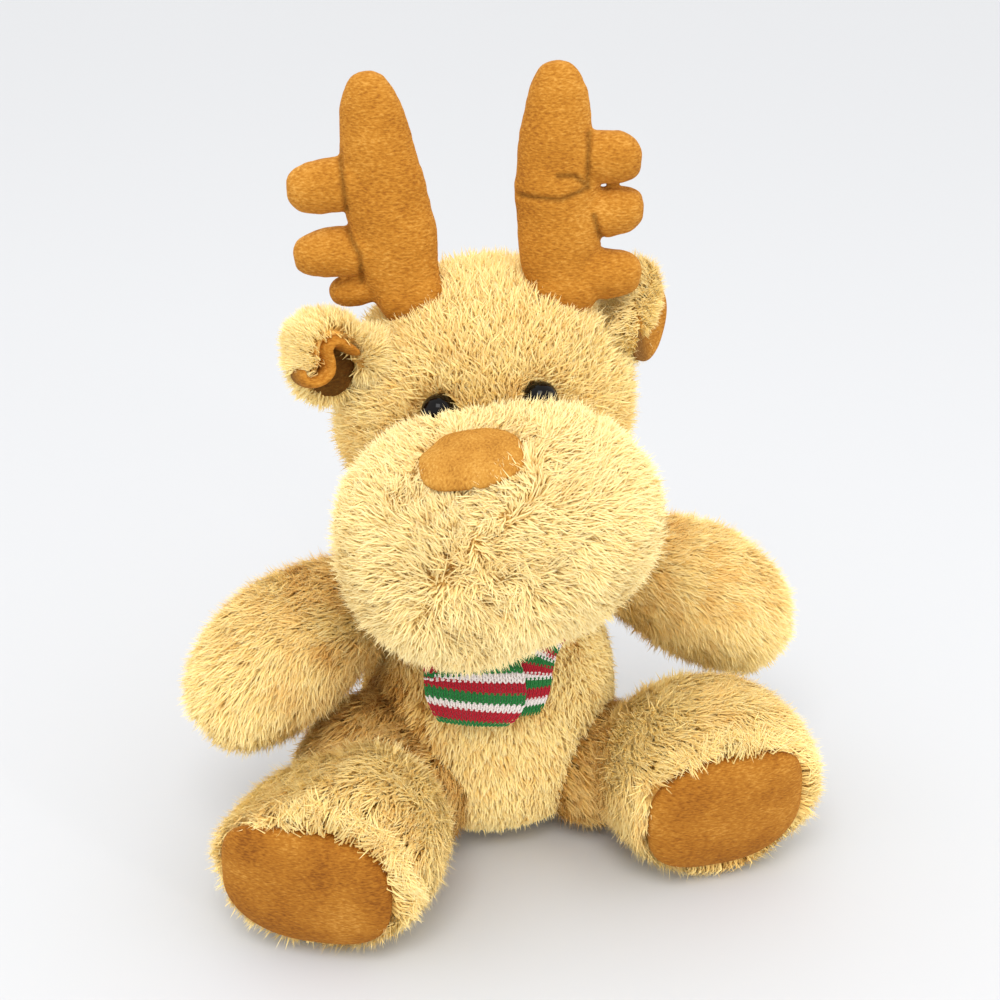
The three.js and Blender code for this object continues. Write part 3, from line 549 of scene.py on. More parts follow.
class Standing:
    """A Geometry Nodes tree that sets unit shapes on a surface."""

    def __init__(self, name, sockets):
        self.tree = bpy.data.node_groups.new(name, "GeometryNodeTree")
        face = self.tree.interface
        face.new_socket("Geometry", in_out="OUTPUT", socket_type="NodeSocketGeometry")
        self.names = {}
        for key, kind, value in (("Geometry", "Geometry", None), ("Shapes", "Collection", None),
                                 ("Cloth", "Material", None), *sockets):
            socket = face.new_socket(key, in_out="INPUT", socket_type=f"NodeSocket{kind}")
            if value is not None:
                socket.default_value = value
            self.names[key] = socket.identifier
        self.given = put(self.tree, "NodeGroupInput").outputs

    def put(self, *values, **named):
        return put(self.tree, *values, **named)

    def read(self, name, kind="FLOAT"):
        return self.put("GeometryNodeInputNamedAttribute", {"data_type": kind}, {"Name": name}).outputs[0]

    def maths(self, operation, *values):
        return maths(self.tree, operation, *values)

    def product(self, first, *values):
        for value in values:
            first = self.maths("MULTIPLY", first, value)
        return first

    def vector(self, **parts):
        return self.put("ShaderNodeCombineXYZ", links=parts).outputs[0]

    def scaled(self, vector, scale):
        return scaled(self.tree, vector, scale)

    def store(self, geometry, name, kind, value, domain="POINT"):
        return self.put("GeometryNodeStoreNamedAttribute", {"data_type": kind, "domain": domain},
                        {"Geometry": geometry, "Name": name, "Value": value}).outputs[0]

    def chance(self, low, high, offset, kind="FLOAT"):
        node = self.put("FunctionNodeRandomValue", {"data_type": kind},
                        {"Seed": self.maths("ADD", self.given["Seed"], offset)})
        limits = [s for s in node.inputs if s.enabled and s.name in ("Min", "Max")]
        for socket, value in zip(limits, (low, high)):
            socket.default_value = value
        return next(s for s in node.outputs if s.enabled)

    def facing(self, normal, along, *turns):
        """Z along the normal and X towards a direction, then turned about its own axes."""
        stand = self.put("FunctionNodeAlignRotationToVector", {"axis": "Z"}, {"Vector": normal})
        turned = self.put("FunctionNodeAlignRotationToVector", {"axis": "X", "pivot_axis": "Z"},
                          {"Rotation": stand.outputs[0], "Vector": along})
        for angles in turns:
            turn = self.put("FunctionNodeEulerToRotation", links={0: angles})
            turned = self.put("FunctionNodeRotateRotation", {"rotation_space": "LOCAL"},
                              {0: turned.outputs[0], 1: turn.outputs[0]})
        return turned.outputs[0]

    def end(self, points, rotation, size, index, tone, spent, bend=None):
        """Sets the shapes, makes them real, shifts their map by a tone and gives them their cloth."""
        kinds = self.put("GeometryNodeCollectionInfo", links={"Collection": self.given["Shapes"],
                                                              "Separate Children": True, "Reset Children": True})
        standing = self.put("GeometryNodeInstanceOnPoints",
                            links={"Points": points, "Instance": kinds.outputs[0], "Pick Instance": True,
                                   "Instance Index": index, "Rotation": rotation, "Scale": size})
        real = self.put("GeometryNodeRealizeInstances", links={"Geometry": standing.outputs[0]})
        if bend is not None:
            real = self.put("GeometryNodeSetPosition", links={"Geometry": real.outputs[0], "Offset": bend})
        mapped = self.put("ShaderNodeVectorMath", {"operation": "ADD"},
                          {0: self.read("OFBake", "FLOAT_VECTOR"), 1: self.vector(X=tone)})
        last = self.store(real.outputs[0], "OFBake", "FLOAT2", mapped.outputs[0], "CORNER")
        for name in spent:
            last = self.put("GeometryNodeRemoveAttribute", links={0: last, "Name": name}).outputs[0]
        shown = self.put("GeometryNodeSetMaterial", links={"Geometry": last, "Material": self.given["Cloth"]})
        self.put("NodeGroupOutput", links={0: shown.outputs[0]})
        return self

    def on(self, name, mesh, **values):
        """A new piece: the tree's result on a mesh, as plain mesh."""
        piece = linked(name, mesh.copy())
        work = piece.modifiers.new("standing", "NODES")
        work.node_group = self.tree
        for key, value in values.items():
            work[self.names[key.replace("_", " ")]] = value
        return settled(piece)


def pile_tree():
    """Fur: locks on a skin, turned to its comb, drawn together in clumps."""
    t = Standing("long_pile", (("Locks per square metre", "Float", 1.0e6), ("Pile length", "Float", 0.01),
                               ("Lock width", "Float", 0.001), ("Lean", "Float", 0.3),
                               ("Unruliness", "Float", 0.3), ("Clump spacing", "Float", 0.004),
                               ("Clump pull", "Float", 0.5), ("Seed", "Int", 1)))
    given = t.given
    roots = t.put("GeometryNodeDistributePointsOnFaces", {"distribute_method": "RANDOM"},
                  {"Mesh": given["Geometry"], "Seed": given["Seed"],
                   "Density": t.product(given["Locks per square metre"], t.read("cover"))})
    clumps = t.put("GeometryNodeDistributePointsOnFaces", {"distribute_method": "POISSON"},
                   {"Mesh": given["Geometry"], "Distance Min": given["Clump spacing"], "Density Max": 4.0e5,
                    "Seed": t.maths("ADD", given["Seed"], 50)})
    here = t.put("GeometryNodeInputPosition").outputs[0]
    nearest = t.put("GeometryNodeSampleNearest", {"domain": "POINT"}, {"Geometry": clumps.outputs["Points"]})
    centre = t.put("GeometryNodeSampleIndex", {"data_type": "FLOAT_VECTOR", "domain": "POINT"},
                   {"Geometry": clumps.outputs["Points"], "Value": here, "Index": nearest.outputs[0]})
    towards = t.put("ShaderNodeVectorMath", {"operation": "SUBTRACT"}, {0: centre.outputs[0], 1: here})
    points = t.store(roots.outputs["Points"], "gather", "FLOAT_VECTOR", towards.outputs[0])
    # Each clump is a little darker or paler than its place on the skin, and so is each of its locks
    by_clump = t.put("ShaderNodeTexWhiteNoise", links={"Vector": t.scaled(centre.outputs[0], 1000.0)})
    clump_shade = t.maths("MULTIPLY_ADD", by_clump.outputs["Value"], 0.3,
                          t.maths("SUBTRACT", t.read("shade"), 0.15))
    tone = t.put("ShaderNodeClamp", links={"Min": 0.03, "Max": 0.97, "Value": t.maths(
        "MULTIPLY_ADD", t.chance(-0.5, 0.5, 3), 0.22, clump_shade)})
    points = t.store(points, "tone", "FLOAT", tone.outputs[0])
    # A lock leans as the pile does where lie is 1, and stands more upright where it is less
    raised = t.maths("MULTIPLY_ADD", t.read("lie"), 0.9, t.maths("SUBTRACT", given["Lean"], 0.9))
    loose = t.scaled(t.chance((-1, -1, -1.6), (1, 1, 1.6), 5, "FLOAT_VECTOR"), given["Unruliness"])
    rotation = t.facing(roots.outputs["Normal"], t.read("comb", "FLOAT_VECTOR"), t.vector(Y=raised), loose)
    length = t.product(given["Pile length"], t.read("pile"), t.chance(0.7, 1.12, 6))
    width = t.product(given["Lock width"], t.chance(0.7, 1.3, 7))
    along = t.read("along")
    pull = t.product(along, along, given["Clump pull"])
    return t.end(points, rotation, t.vector(X=length, Y=width, Z=length), t.chance(0, 5, 8, "INT"),
                 t.read("tone"), ("gather", "tone", "along", "comb", "pile", "cover", "lie", "shade"),
                 t.scaled(t.read("gather", "FLOAT_VECTOR"), pull))


def knit_tree():
    """Knitting: a stitch on each point of a grid of courses and wales."""
    t = Standing("knit", (("Course", "Float", 0.0014), ("Wale", "Float", 0.002), ("Plump", "Float", 0.0014)))
    rotation = t.facing(t.put("GeometryNodeInputNormal").outputs[0], t.read("grain", "FLOAT_VECTOR"))
    size = t.vector(X=t.given["Course"], Y=t.product(t.given["Wale"], t.read("fit")), Z=t.given["Plump"])
    return t.end(t.given["Geometry"], rotation, size, 0, t.read("stripe"), ("grain", "fit", "stripe", "along"))


PILE = pile_tree()
KNIT = knit_tree()


def grown(name, skin, fur, locks, length, width, lean, unruly, spacing, pull, seed):
    """The fur of a skin as a piece of its own. None of it passes through the floor."""
    covers = skin.data.attributes["cover"].data
    area = sum(p.area * sum(covers[i].value for i in p.vertices) / len(p.vertices) for p in skin.data.polygons)
    piece = PILE.on(name, skin.data, Shapes=LOCKS, Cloth=fur, Locks_per_square_metre=locks / area,
                    Pile_length=length * MM, Lock_width=width * MM, Lean=lean, Unruliness=unruly,
                    Clump_spacing=spacing * MM, Clump_pull=pull, Seed=seed)
    for vertex in piece.data.vertices:
        if vertex.co.z < FLOOR_GAP:
            vertex.co.z = FLOOR_GAP
    return piece


def eased(value, low, high):
    part = min(max((value - low) / (high - low), 0), 1)
    return part * part * (3 - 2 * part)


def landing(forms, start, direction):
    """Where a straight line first meets some forms, given as trees in their own frame."""
    hits = [form.ray_cast(start, direction)[0] for form in forms]
    return min((hit for hit in hits if hit), key=lambda hit: (hit - start).length)


def moved(piece, shift):
    """The piece with each point shifted by a function of its place and outward direction."""
    normals = [v.normal.copy() for v in piece.data.vertices]
    for vertex, normal in zip(piece.data.vertices, normals):
        vertex.co += shift(vertex.co / MM, normal) * MM
    piece.data.update()
    return piece


def painted_shade_in_folds(piece, depth_of):
    """Writes on a piece how much painted shade each of its points gets in its creases and hollows, from 0 to 1."""
    write(piece.data, "fold", [depth_of(vertex.co / MM) for vertex in piece.data.vertices])
    return piece


# Skins: each lies under its pile, inside the room that the part keeps for cloth and pile together

torso_line = [Vector((0, 0, -0.5)), Vector((TORSO["lean"] / 2, -TORSO["forward"], TORSO["height"] / 2)),
              Vector((TORSO["lean"], 0, TORSO["height"]))]


def torso_form(inset):
    return stuffed(torso_line, X, TORSO["width"], TORSO["depth"], (0.9, 1, 1, 0.97, 0.9, 0.8, 0.72),
                   (0.94, 1.02, 1, 0.94, 0.86, 0.76, 0.7), (3.6, 2.2), inset)


def head_form(inset):
    reach = Z * HEAD_SIZE.z / 2
    return stuffed(straight(HEAD_CENTRE - reach, HEAD_CENTRE + reach), X, HEAD_SIZE.x, HEAD_SIZE.y,
                   (0.94, 1, 1, 0.97, 0.92), None, (2.2, 2.2), inset)


def muzzle_form(inset):
    width, depth, height = MUZZLE_SIZE
    line = [MUZZLE_CENTRE + Vector((-width / 2, 6, 0)), MUZZLE_CENTRE, MUZZLE_CENTRE + Vector((width / 2, 6, 0))]
    return stuffed(line, Y, depth, height, (0.94, 1, 1, 1, 0.94), None, (2.5, 2.5), inset)


def arm_place(side):
    at = Vector((TORSO["lean"] + side * SHOULDER["spacing"] / 2, SHOULDER["setback"], SHOULDER["height"]))
    return Matrix.Translation(at) @ Matrix.Rotation(-side * SHOULDER["tilt"], 4, "Y")


def arm_line(side):
    return [Vector((x * side, y, z)) * ARM["length"] for x, y, z in
            ((-0.16, 0, 0.02), (0.2, -0.03, -0.04), (0.52, -0.08, -0.28), (0.8, -0.18, -0.64))]


def arm_form(side, inset):
    return stuffed(arm_line(side), Y, ARM["width"], ARM["thickness"], (0.56, 0.7, 0.88, 1, 1, 0.98), None,
                   (2.8, 2.8), inset)


def leg_place(name):
    side = SIDES[name]
    at = Vector((side * HIP["spacing"] / 2, -HIP["forward"], HIP["height"]))
    return Matrix.Translation(at) @ Matrix.Rotation(side * LEGS[name]["splay"], 4, "Z")


def foot_ahead(name):
    turn = SIDES[name] * (LEGS[name]["turn"] - LEGS[name]["splay"])
    return Vector((math.sin(turn), -math.cos(turn), 0))


def ankle(name):
    return Vector((0, -LEGS[name]["reach"], FOOT["height"] / 2 - 0.5 - HIP["height"]))


def leg_forms(name, inset):
    """Hip, thigh and foot. The right hip is squeezed up where the leg is folded forwards."""
    ahead, low = foot_ahead(name), ankle(name)
    middle = Vector((low.x, low.y, 0)) / 2
    thigh = stuffed([Vector((0, 0, 0)), middle, low], X, THIGH, THIGH, (1, 1, 0.97, 0.94), None, (4, 4), inset)
    foot = stuffed(straight(low - ahead * FOOT["length"] / 2, low + ahead * FOOT["length"] / 2), X,
                   FOOT["width"], FOOT["height"], (0.9, 1, 1, 1, 0.96), None, (3, 3), inset)
    forms = [ball(HIP["radius"] - inset), thigh, foot]
    if name in HIP_BULGES:
        line = [leg_place(name).inverted() @ Vector(point) for point in HIP_BULGES[name]]
        forms.append(stuffed(line, Z, 50, 52, (0.9, 1, 0.9), None, (2.4, 2.4), inset))
    return forms


torso_skin = fused(piece_from("torso_skin", [torso_form(PILE_ROOM), ball(NECK_RADIUS - 2, NECK)]), 3.0, 3)
carved(torso_skin, [block_beyond(arm_place(side).to_3x3() @ (X * side), arm_place(side).translation)
                    for side in (RIGHT, LEFT)]
       + [ball(HIP["radius"] - PILE_ROOM + 1, leg_place(name).translation) for name in SIDES])
fused(torso_skin, 2.0, 4)

neck_hollow = ball(NECK_RADIUS + 3.5)
head_skin = piece_from("head_skin", [head_form(PILE_ROOM)], HEAD)
fused(carved(head_skin, [neck_hollow], HEAD), 2.0, 4)
muzzle_skin = piece_from("muzzle_skin", [muzzle_form(PILE_ROOM)], HEAD)
fused(carved(muzzle_skin, [head_form(PILE_ROOM - 0.5), neck_hollow], HEAD), 2.0, 4)


def pushed(skin, middle, towards, reach, shift):
    """The skin drawn in or out where it faces a direction from its middle."""
    aim = towards.normalized()

    def drawn(point, normal):
        return normal * shift * eased((point - middle).normalized().dot(aim), reach, 1)
    return moved(skin, drawn)


def soled(leg, name, room):
    """The leg cut flat where its sole goes."""
    ahead = foot_ahead(name)
    return carved(leg, [block_beyond(ahead, ankle(name) + ahead * (FOOT["sole"] - room))], leg_place(name))


JAW = (HEAD @ MUZZLE_CENTRE, in_head(0.62, -0.25, -0.78), 0.55, -6)
pushed(muzzle_skin, *JAW)
head_fill = fused(piece_from("head_fill", [head_form(FILL_ROOM), muzzle_form(FILL_ROOM)], HEAD), 3.0, 2)
pushed(carved(head_fill, [ball(NECK_RADIUS + 5)], HEAD), *JAW)
pushed(head_skin, HEAD @ HEAD_CENTRE, in_head(-0.9, -0.35, -0.25), 0.75, 5)

skins = {"head": head_skin, "muzzle": muzzle_skin, "torso": torso_skin}
for name, side in SIDES.items():
    arm = piece_from(f"arm_skin_{name}", [arm_form(side, PILE_ROOM)], arm_place(side))
    shoulder_cut = block_beyond(-X * side, X * side * ARM["cut"])
    skins[f"arm_{name}"] = fused(carved(arm, [shoulder_cut], arm_place(side)), 2.0, 3)
    leg = fused(piece_from(f"leg_skin_{name}", leg_forms(name, PILE_ROOM), leg_place(name)), 2.5, 6)
    skins[f"leg_{name}"] = fused(soled(leg, name, SOLE_ROOM), 2.0, 4)
INSTEP = (leg_place("right") @ ankle("right"), Vector((-0.4, 0.45, 0.8)), 0.35, -9)
pushed(skins["leg_right"], *INSTEP)
leg_fill = fused(piece_from("leg_fill_right", leg_forms("right", FILL_ROOM), leg_place("right")), 3.0, 3)
pushed(soled(leg_fill, "right", FILL_ROOM), *INSTEP)


# Antlers: short-pile covers puffed over their filling, with a seam round the edge that puckers

def antler_forms(name, inset=0):
    antler = ANTLERS[name]
    forms = [stuffed([Vector((x, 0, z)) for x, z in antler["beam"]], X, 28, 19, (0.8, 1.04, 1.06, 0.95, 0.84),
                     (0.9, 1, 1, 1, 0.98, 0.95), (4.0, 3.0), inset),
             stuffed(straight(X * -12, X * 12), Z, 19, 18, (1, 1), None, (3.2, 3.2), inset)]
    for (x0, z0), (x1, z1), height, thickness, back in antler["tines"]:
        forms.append(stuffed(straight(Vector((x0, back, z0)), Vector((x1, back, z1))), Z, height, thickness,
                             (1, 1, 1, 0.96), None, (3.0, 3.0), inset))
    return forms


def antler_place(name):
    return (Matrix.Translation(joint_at(f"antler_bend_{name}")) @ HEAD.to_3x3().to_4x4()
            @ Matrix.Rotation(SIDES[name] * ANTLER_TILT, 4, "Y"))


def antler_cloth(name):
    """Two functions: how deep a point lies in a crease of the front face, and how the cover shifts."""
    inverse = antler_place(name).inverted()
    creases = [vectors(line) for line in ANTLERS[name]["creases"]]

    def groove(point):
        at = inverse @ point
        away = min(to_segment(Vector((at.x, at.z)), a, b) for line in creases for a, b in zip(line, line[1:]))
        return math.exp(-(away / CREASE_WIDTH) ** 2) * eased(-at.y, -2, 3)

    def seamed(point, normal):
        at = inverse @ point
        seam = math.exp(-(at.y / CREASE_WIDTH) ** 2) * 0.45
        pucker = math.exp(-(at.y / 4) ** 2) * noise.noise(Vector((at.x, 0, at.z)) / 3.5) * 0.3
        slack = noise.noise(at / 14) * 0.9
        return normal * (slack + pucker - seam - 1.5 * groove(point))
    return groove, seamed


antler_fills = {}
for name in SIDES:
    place = antler_place(name)
    groove, seamed = antler_cloth(name)
    skin = moved(fused(piece_from(f"antler_skin_{name}", antler_forms(name), place), 0.9, 4), seamed)
    # Painted shade: the cover is darkened along its creases
    skins[f"antler_{name}"] = painted_shade_in_folds(skin, lambda point: 0.6 * groove(point))
    fill = piece_from(f"antler_fill_{name}", antler_forms(name, ANTLER_FILL_ROOM), place)
    antler_fills[name] = fused(fill, 1.6, 4)


# Ears: a furry flap with a short-pile lining; the right one curls over, the left one cups outwards

def curled_lining(ear, line, broad):
    """A lining that curls round an ear's hollow, with the floor of the hollow and the ear's outer roll."""
    width, thickness = ear["size"]
    outer = []
    spine, _ = smooth_line(line, 24)
    for index, point in enumerate(spine):
        tangent = spine[min(index + 1, 24)] - spine[max(index - 1, 0)]
        outer.append(point + broad.cross(tangent).normalized() * 3.4 + broad * 4.5)
    roll = stuffed(outer[::3], broad, width, 5, (0.9, 1, 1, 0.85), (1, 1), (3, 3))
    points, wide, *size = ear["floor"]
    return [stuffed(line, broad, width, thickness, (0.9, 1, 1, 0.8), (1, 1), (4, 4), 0, 70, 32),
            stuffed(straight(*vectors(points)), wide, *size, (1, 1))], roll


def dished_lining(ear, line, broad):
    """A lining that is hollowed like a dish."""
    depth, (x, z), (across, along) = ear["dish"]
    verts, faces = stuffed(line, broad, *ear["size"], (0.9, 1, 1, 0.9), (1, 1), (2.4, 2.4), 0, 60, 32)
    return [([v - Y * depth * (((v.x - x) / across) ** 2 + ((v.z - z) / along) ** 2) for v in verts], faces)]


ear_places = {}
for name, ear in EARS.items():
    reach = in_head(*ear["reach"]).normalized()
    across = Vector(JOINTS[f"ear_flop_{name}"]["axis"])
    place = Matrix((across, reach.cross(across), reach)).transposed().to_4x4()
    place.translation = joint_at(f"ear_flop_{name}")
    inverse = place.inverted()
    forms = [ball(EAR_ROOT)]
    for points, wide, *size in ear["fur"]:
        points = vectors(points)
        points = straight(*points) if len(points) == 2 else points
        forms.append(stuffed(points, wide, *size, (1, 1), None, (2.2, 2.2)))
    line, broad = vectors(ear["line"]), Vector(ear["broad"])
    if ear["dish"]:
        linings = dished_lining(ear, line, broad)
    else:
        linings, roll = curled_lining(ear, line, broad)
        forms.append(roll)
    skins[f"ear_{name}"] = fused(piece_from(f"ear_skin_{name}", forms, place), 1.3, 3)
    lining = piece_from(f"ear_lining_{name}_cloth", linings, place)
    # Painted shade: each lining is darkened deeper in its hollow, the left one towards the ear's root and the right
    # one towards the floor of its curl
    if ear["dish"]:
        painted_shade_in_folds(lining, lambda p: 0.8 * (1 - eased((inverse @ p).z, 4, 19)))
    else:
        painted_shade_in_folds(fused(lining, 0.7, 3), lambda p: eased((inverse @ p).y, -9, 2))
    skins[f"lining_{name}"] = lining
    ear_places[name] = place


# Nose, eyes and soles

nose_out = Vector((0, -math.cos(NOSE["tilt"]), math.sin(NOSE["tilt"])))
nose_up = Vector((0, math.sin(NOSE["tilt"]), math.cos(NOSE["tilt"])))
muzzle_tree = BVHTree.FromPolygons(*muzzle_form(0))
nose_line = [landing([muzzle_tree], MUZZLE_CENTRE + X * (end * NOSE["half"] + NOSE["shift"]) + nose_out * FAR,
                     -nose_out) - nose_out * 2 for end in (-1, 0, 1)]
nose_middle = HEAD @ nose_line[1]


def nose_shape(point, normal):
    """A crease down the middle of the nose's lower half, and slack cloth."""
    at = HEAD.inverted() @ point - nose_line[1]
    crease = math.exp(-(at.x / 1.1) ** 2) * (1 - eased(at.z, -6, 5))
    return normal * (0.8 * noise.noise(at / 7) - 1.0 * crease)


nose_form = stuffed(nose_line, nose_up, NOSE["height"], NOSE["thickness"], (0.9, 1, 0.9), None, (2.6, 2.6))
skins["nose"] = moved(piece_from("nose_skin", [nose_form], HEAD), nose_shape)

eye_middles, eye_normals = {}, {}
head_tree = BVHTree.FromPolygons(*head_form(0))
half = HEAD_SIZE / 2
for name, side in SIDES.items():
    seat = landing([head_tree], Vector((EYES["shift"] + side * EYES["half"], -FAR, EYES["height"])), Y)
    away = seat - HEAD_CENTRE
    normal = Vector((away.x / half.x ** 2, away.y / half.y ** 2, away.z / half.z ** 2)).normalized()
    across = normal.cross(Z).normalized()
    dome = stuffed(straight(seat - normal * 7, seat + normal * 4.6), across, EYES["width"], EYES["width"], (1, 1),
                   None, (6, 2.1), 0, 30, 40)
    stem = stuffed(straight(seat - normal * 14, seat - normal * 4), across, 4, 4, (1, 1), None, (8, 8), 0, 8, 12)
    skins[f"eye_{name}"] = piece_from(f"eye_dome_{name}", [dome, stem], HEAD)
    eye_middles[name] = HEAD @ seat
    eye_normals[name] = in_head(*normal)


def pad_middle(name):
    ahead = foot_ahead(name)
    return ankle(name) + ahead * PAD["forward"] + ahead.cross(Z) * PADS[name][0] + Z * PADS[name][1]


for name in SIDES:
    middle, ahead = pad_middle(name), foot_ahead(name)
    across = ahead.cross(Z)
    verts, faces = stuffed(straight(middle - ahead * 6, middle + ahead * 7.2), X, PAD["width"], PAD["height"],
                           (1, 1), None, (2.6, 2.3), 0, 40, 72)
    squared = []  # an oval, with each of its four corners filled out by a power of its own
    for vert in verts:
        away = vert - middle
        wide, tall = away.dot(across) / (PAD["width"] / 2), away.z / (PAD["height"] / 2)
        outer = wide * -SIDES[name] > 0
        power = (4.5 if outer else 2.3) if tall > 0 else (2.1 if outer else 3.2)
        corner = (abs(wide) ** power + abs(tall) ** power) ** (1 / power)
        grow = math.hypot(wide, tall) / corner if corner > 1e-6 else 1
        squared.append(vert + (grow - 1) * (across * away.dot(across) + Z * away.z))
    skins[f"pad_{name}"] = piece_from(f"pad_skin_{name}", [(squared, faces)], leg_place(name))


# Scarf: one knitted strip, gathered round the neck, whose two ends lap on the chest

class Strip:
    """The scarf's own length and width, laid on the body. Its path is that of its middle on the body
    when unrolled from a cylinder, and the halves of its width are spread evenly along it."""
    unrolled = 48
    path = [Vector((x, z, 0)) for x, z in (
        (-19.6, 64.5), (-19.2, 73), (-20.4, 84), (-27, 94), (-38, 101.5), (-52, 108.5), (-75.4, 115), (-112, 116.6),
        (-150.8, 116.8), (-189.6, 116.6), (-226.2, 115), (-251.3, 109.5), (-270, 104), (-288, 98.5),
        (-301, 92), (-307, 83), (-309, 74), (-309.5, 66.5))]
    halves = (15, 15, 10.5, 6, 4.6, 4.3, 4.2, 4.2, 4.2, 4.3, 4.6, 6, 8, 11.5, 12.5)
    rounding = 13  # over this length each end narrows
    slants = (0.0066, -0.004)  # each tail's end hangs askew
    lap, curl, ripple = 1.9, 1.2, 0.9  # how far it stands off: over its other end, at its tips, in gathers
    count = 400
    line, length = smooth_line(path, count)
    body = [BVHTree.FromPolygons(*form) for form in (torso_form(0), ball(NECK_RADIUS + 2.5, NECK))]

    def at(self, along, across, high):
        """A point of the strip: its shares along and across it, and its height off the body."""
        end = min(min(along, 1 - along) * self.length / self.rounding, 1)
        half_width = share_at(self.halves, along) * (0.5 + 0.5 * math.sqrt(1 - (1 - end) ** 2))
        first, last = self.slants
        along += across * end * (first * (1 - eased(along, 0.05, 0.14)) + last * eased(along, 0.86, 0.95))
        spot = along * self.count
        index = min(max(int(spot), 0), self.count - 1)
        centre = self.line[index].lerp(self.line[index + 1], spot - index)
        tangent = (self.line[min(index + 2, self.count)] - self.line[max(index - 1, 0)]).normalized()
        flat = centre + Vector((-tangent.y, tangent.x, 0)) * across * half_width
        turn, height = flat.x / self.unrolled, flat.y
        outwards = Vector((math.sin(turn), -math.cos(turn), 0))
        hit = landing(self.body, Vector((NECK.x, NECK.y, height)) + outwards * FAR, -outwards)
        gone = max(along, 0) * self.length
        near_end = min(gone, self.length - gone)
        lap = self.lap * (1 - eased(gone, 14, 34))
        curl = self.curl * (1 - eased(near_end, 0, 5)) ** 2
        ripple = self.ripple * math.cos(across * 8 + along * 20) * eased(near_end, 30, 60)
        return (hit + outwards * (high + lap + curl + ripple)) * MM


strip = Strip()


def strip_mesh(name, courses, wales, high):
    """A grid of courses and wales on the strip, as a mesh and as rows of points."""
    rows = [[strip.at((i + 0.5) / courses, 2 * (j + 0.5) / wales - 1, high) for j in range(wales)]
            for i in range(courses)]
    mesh = bpy.data.meshes.new(name)
    faces = [(i * wales + j, i * wales + j + 1, (i + 1) * wales + j + 1, (i + 1) * wales + j)
             for i in range(courses - 1) for j in range(wales - 1)]
    mesh.from_pydata([p for row in rows for p in row], [], faces)
    return mesh, rows


def stripe_of(course):
    """The colour of a course: 3 of green, 3 of red and 2 of white, over and over."""
    spot = (course + 2) % 8
    return (2 if spot < 3 else 1 if spot < 6 else 0) / 3 + 1 / 6


COURSES, WALES = 272, 18
STITCH_HEIGHT, CLOTH_HEIGHT, CLOTH_THICKNESS = 2.7, 1.7, 1.1
STITCH_SIZE = (1.15, 1.12, 1.7)  # of a course, of a wale, and its height in millimetres
CLOTH_WALES = WALES * 2  # in the cloth's finer grid, which the stitches lie on
stitch_grid, rows = strip_mesh("stitch_grid", COURSES, WALES, STITCH_HEIGHT)
grains, fits, stripes = [], [], []
for i, row in enumerate(rows):
    ahead_row, back_row = rows[min(i + 1, COURSES - 1)], rows[max(i - 1, 0)]
    for j in range(WALES):
        grains.extend(ahead_row[j] - back_row[j])
        pitch = (row[min(j + 1, WALES - 1)] - row[max(j - 1, 0)]).length
        fits.append(pitch / (2 if 0 < j < WALES - 1 else 1))
        stripes.append(stripe_of(i))
write(stitch_grid, "grain", grains, "FLOAT_VECTOR")
write(stitch_grid, "fit", fits)
write(stitch_grid, "stripe", stripes)
scarf_stitches = KNIT.on("scarf_stitches", stitch_grid, Shapes=STITCH, Cloth=yarn,
                         Course=strip.length / COURSES * MM * STITCH_SIZE[0], Wale=STITCH_SIZE[1],
                         Plump=STITCH_SIZE[2] * MM)

ground, _ = strip_mesh("scarf_cloth", COURSES, CLOTH_WALES, CLOTH_HEIGHT)
layer = ground.uv_layers.new(name="OFBake")
for polygon in ground.polygons:
    course = polygon.index // (CLOTH_WALES - 1)
    for loop in polygon.loop_indices:
        corner = loop - polygon.loop_start
        layer.uv[loop].vector = (stripe_of(course) + 0.01 * (corner in (1, 2)), 0.1 + 0.8 * (corner > 1))
scarf_cloth = linked("scarf_cloth", ground)
wall = scarf_cloth.modifiers.new("wall", "SOLIDIFY")
wall.thickness = CLOTH_THICKNESS * MM
wall.offset = 0
settled(scarf_cloth)
dressed(scarf_cloth, yarn)


# Combing: which way the pile lies, where it grows, how long it is and its tone, painted light and shade included

trees = {key: BVHTree.FromObject(piece, bpy.context.evaluated_depsgraph_get()) for key, piece in skins.items()}


def depth_in(tree, point):
    """How deep a point in millimetres lies inside a skin, less than 0 outside it."""
    near, normal, _, _ = tree.find_nearest(point * MM)
    away = point * MM - near
    return -math.copysign(away.length, away.dot(normal)) / MM


def inside(tree, point):
    """Whether a point in millimetres lies inside a closed skin, counted by the walls that a line meets."""
    start, askew, crossings = point * MM, Vector((0.31, 0.52, 0.795)), 0
    for _ in range(20):
        hit = tree.ray_cast(start, askew)[0]
        if hit is None:
            break
        crossings += 1
        start = hit + askew * 1e-6
    return crossings % 2 == 1


def swirl(point, size, amount):
    return noise.noise_vector(point / size) * amount


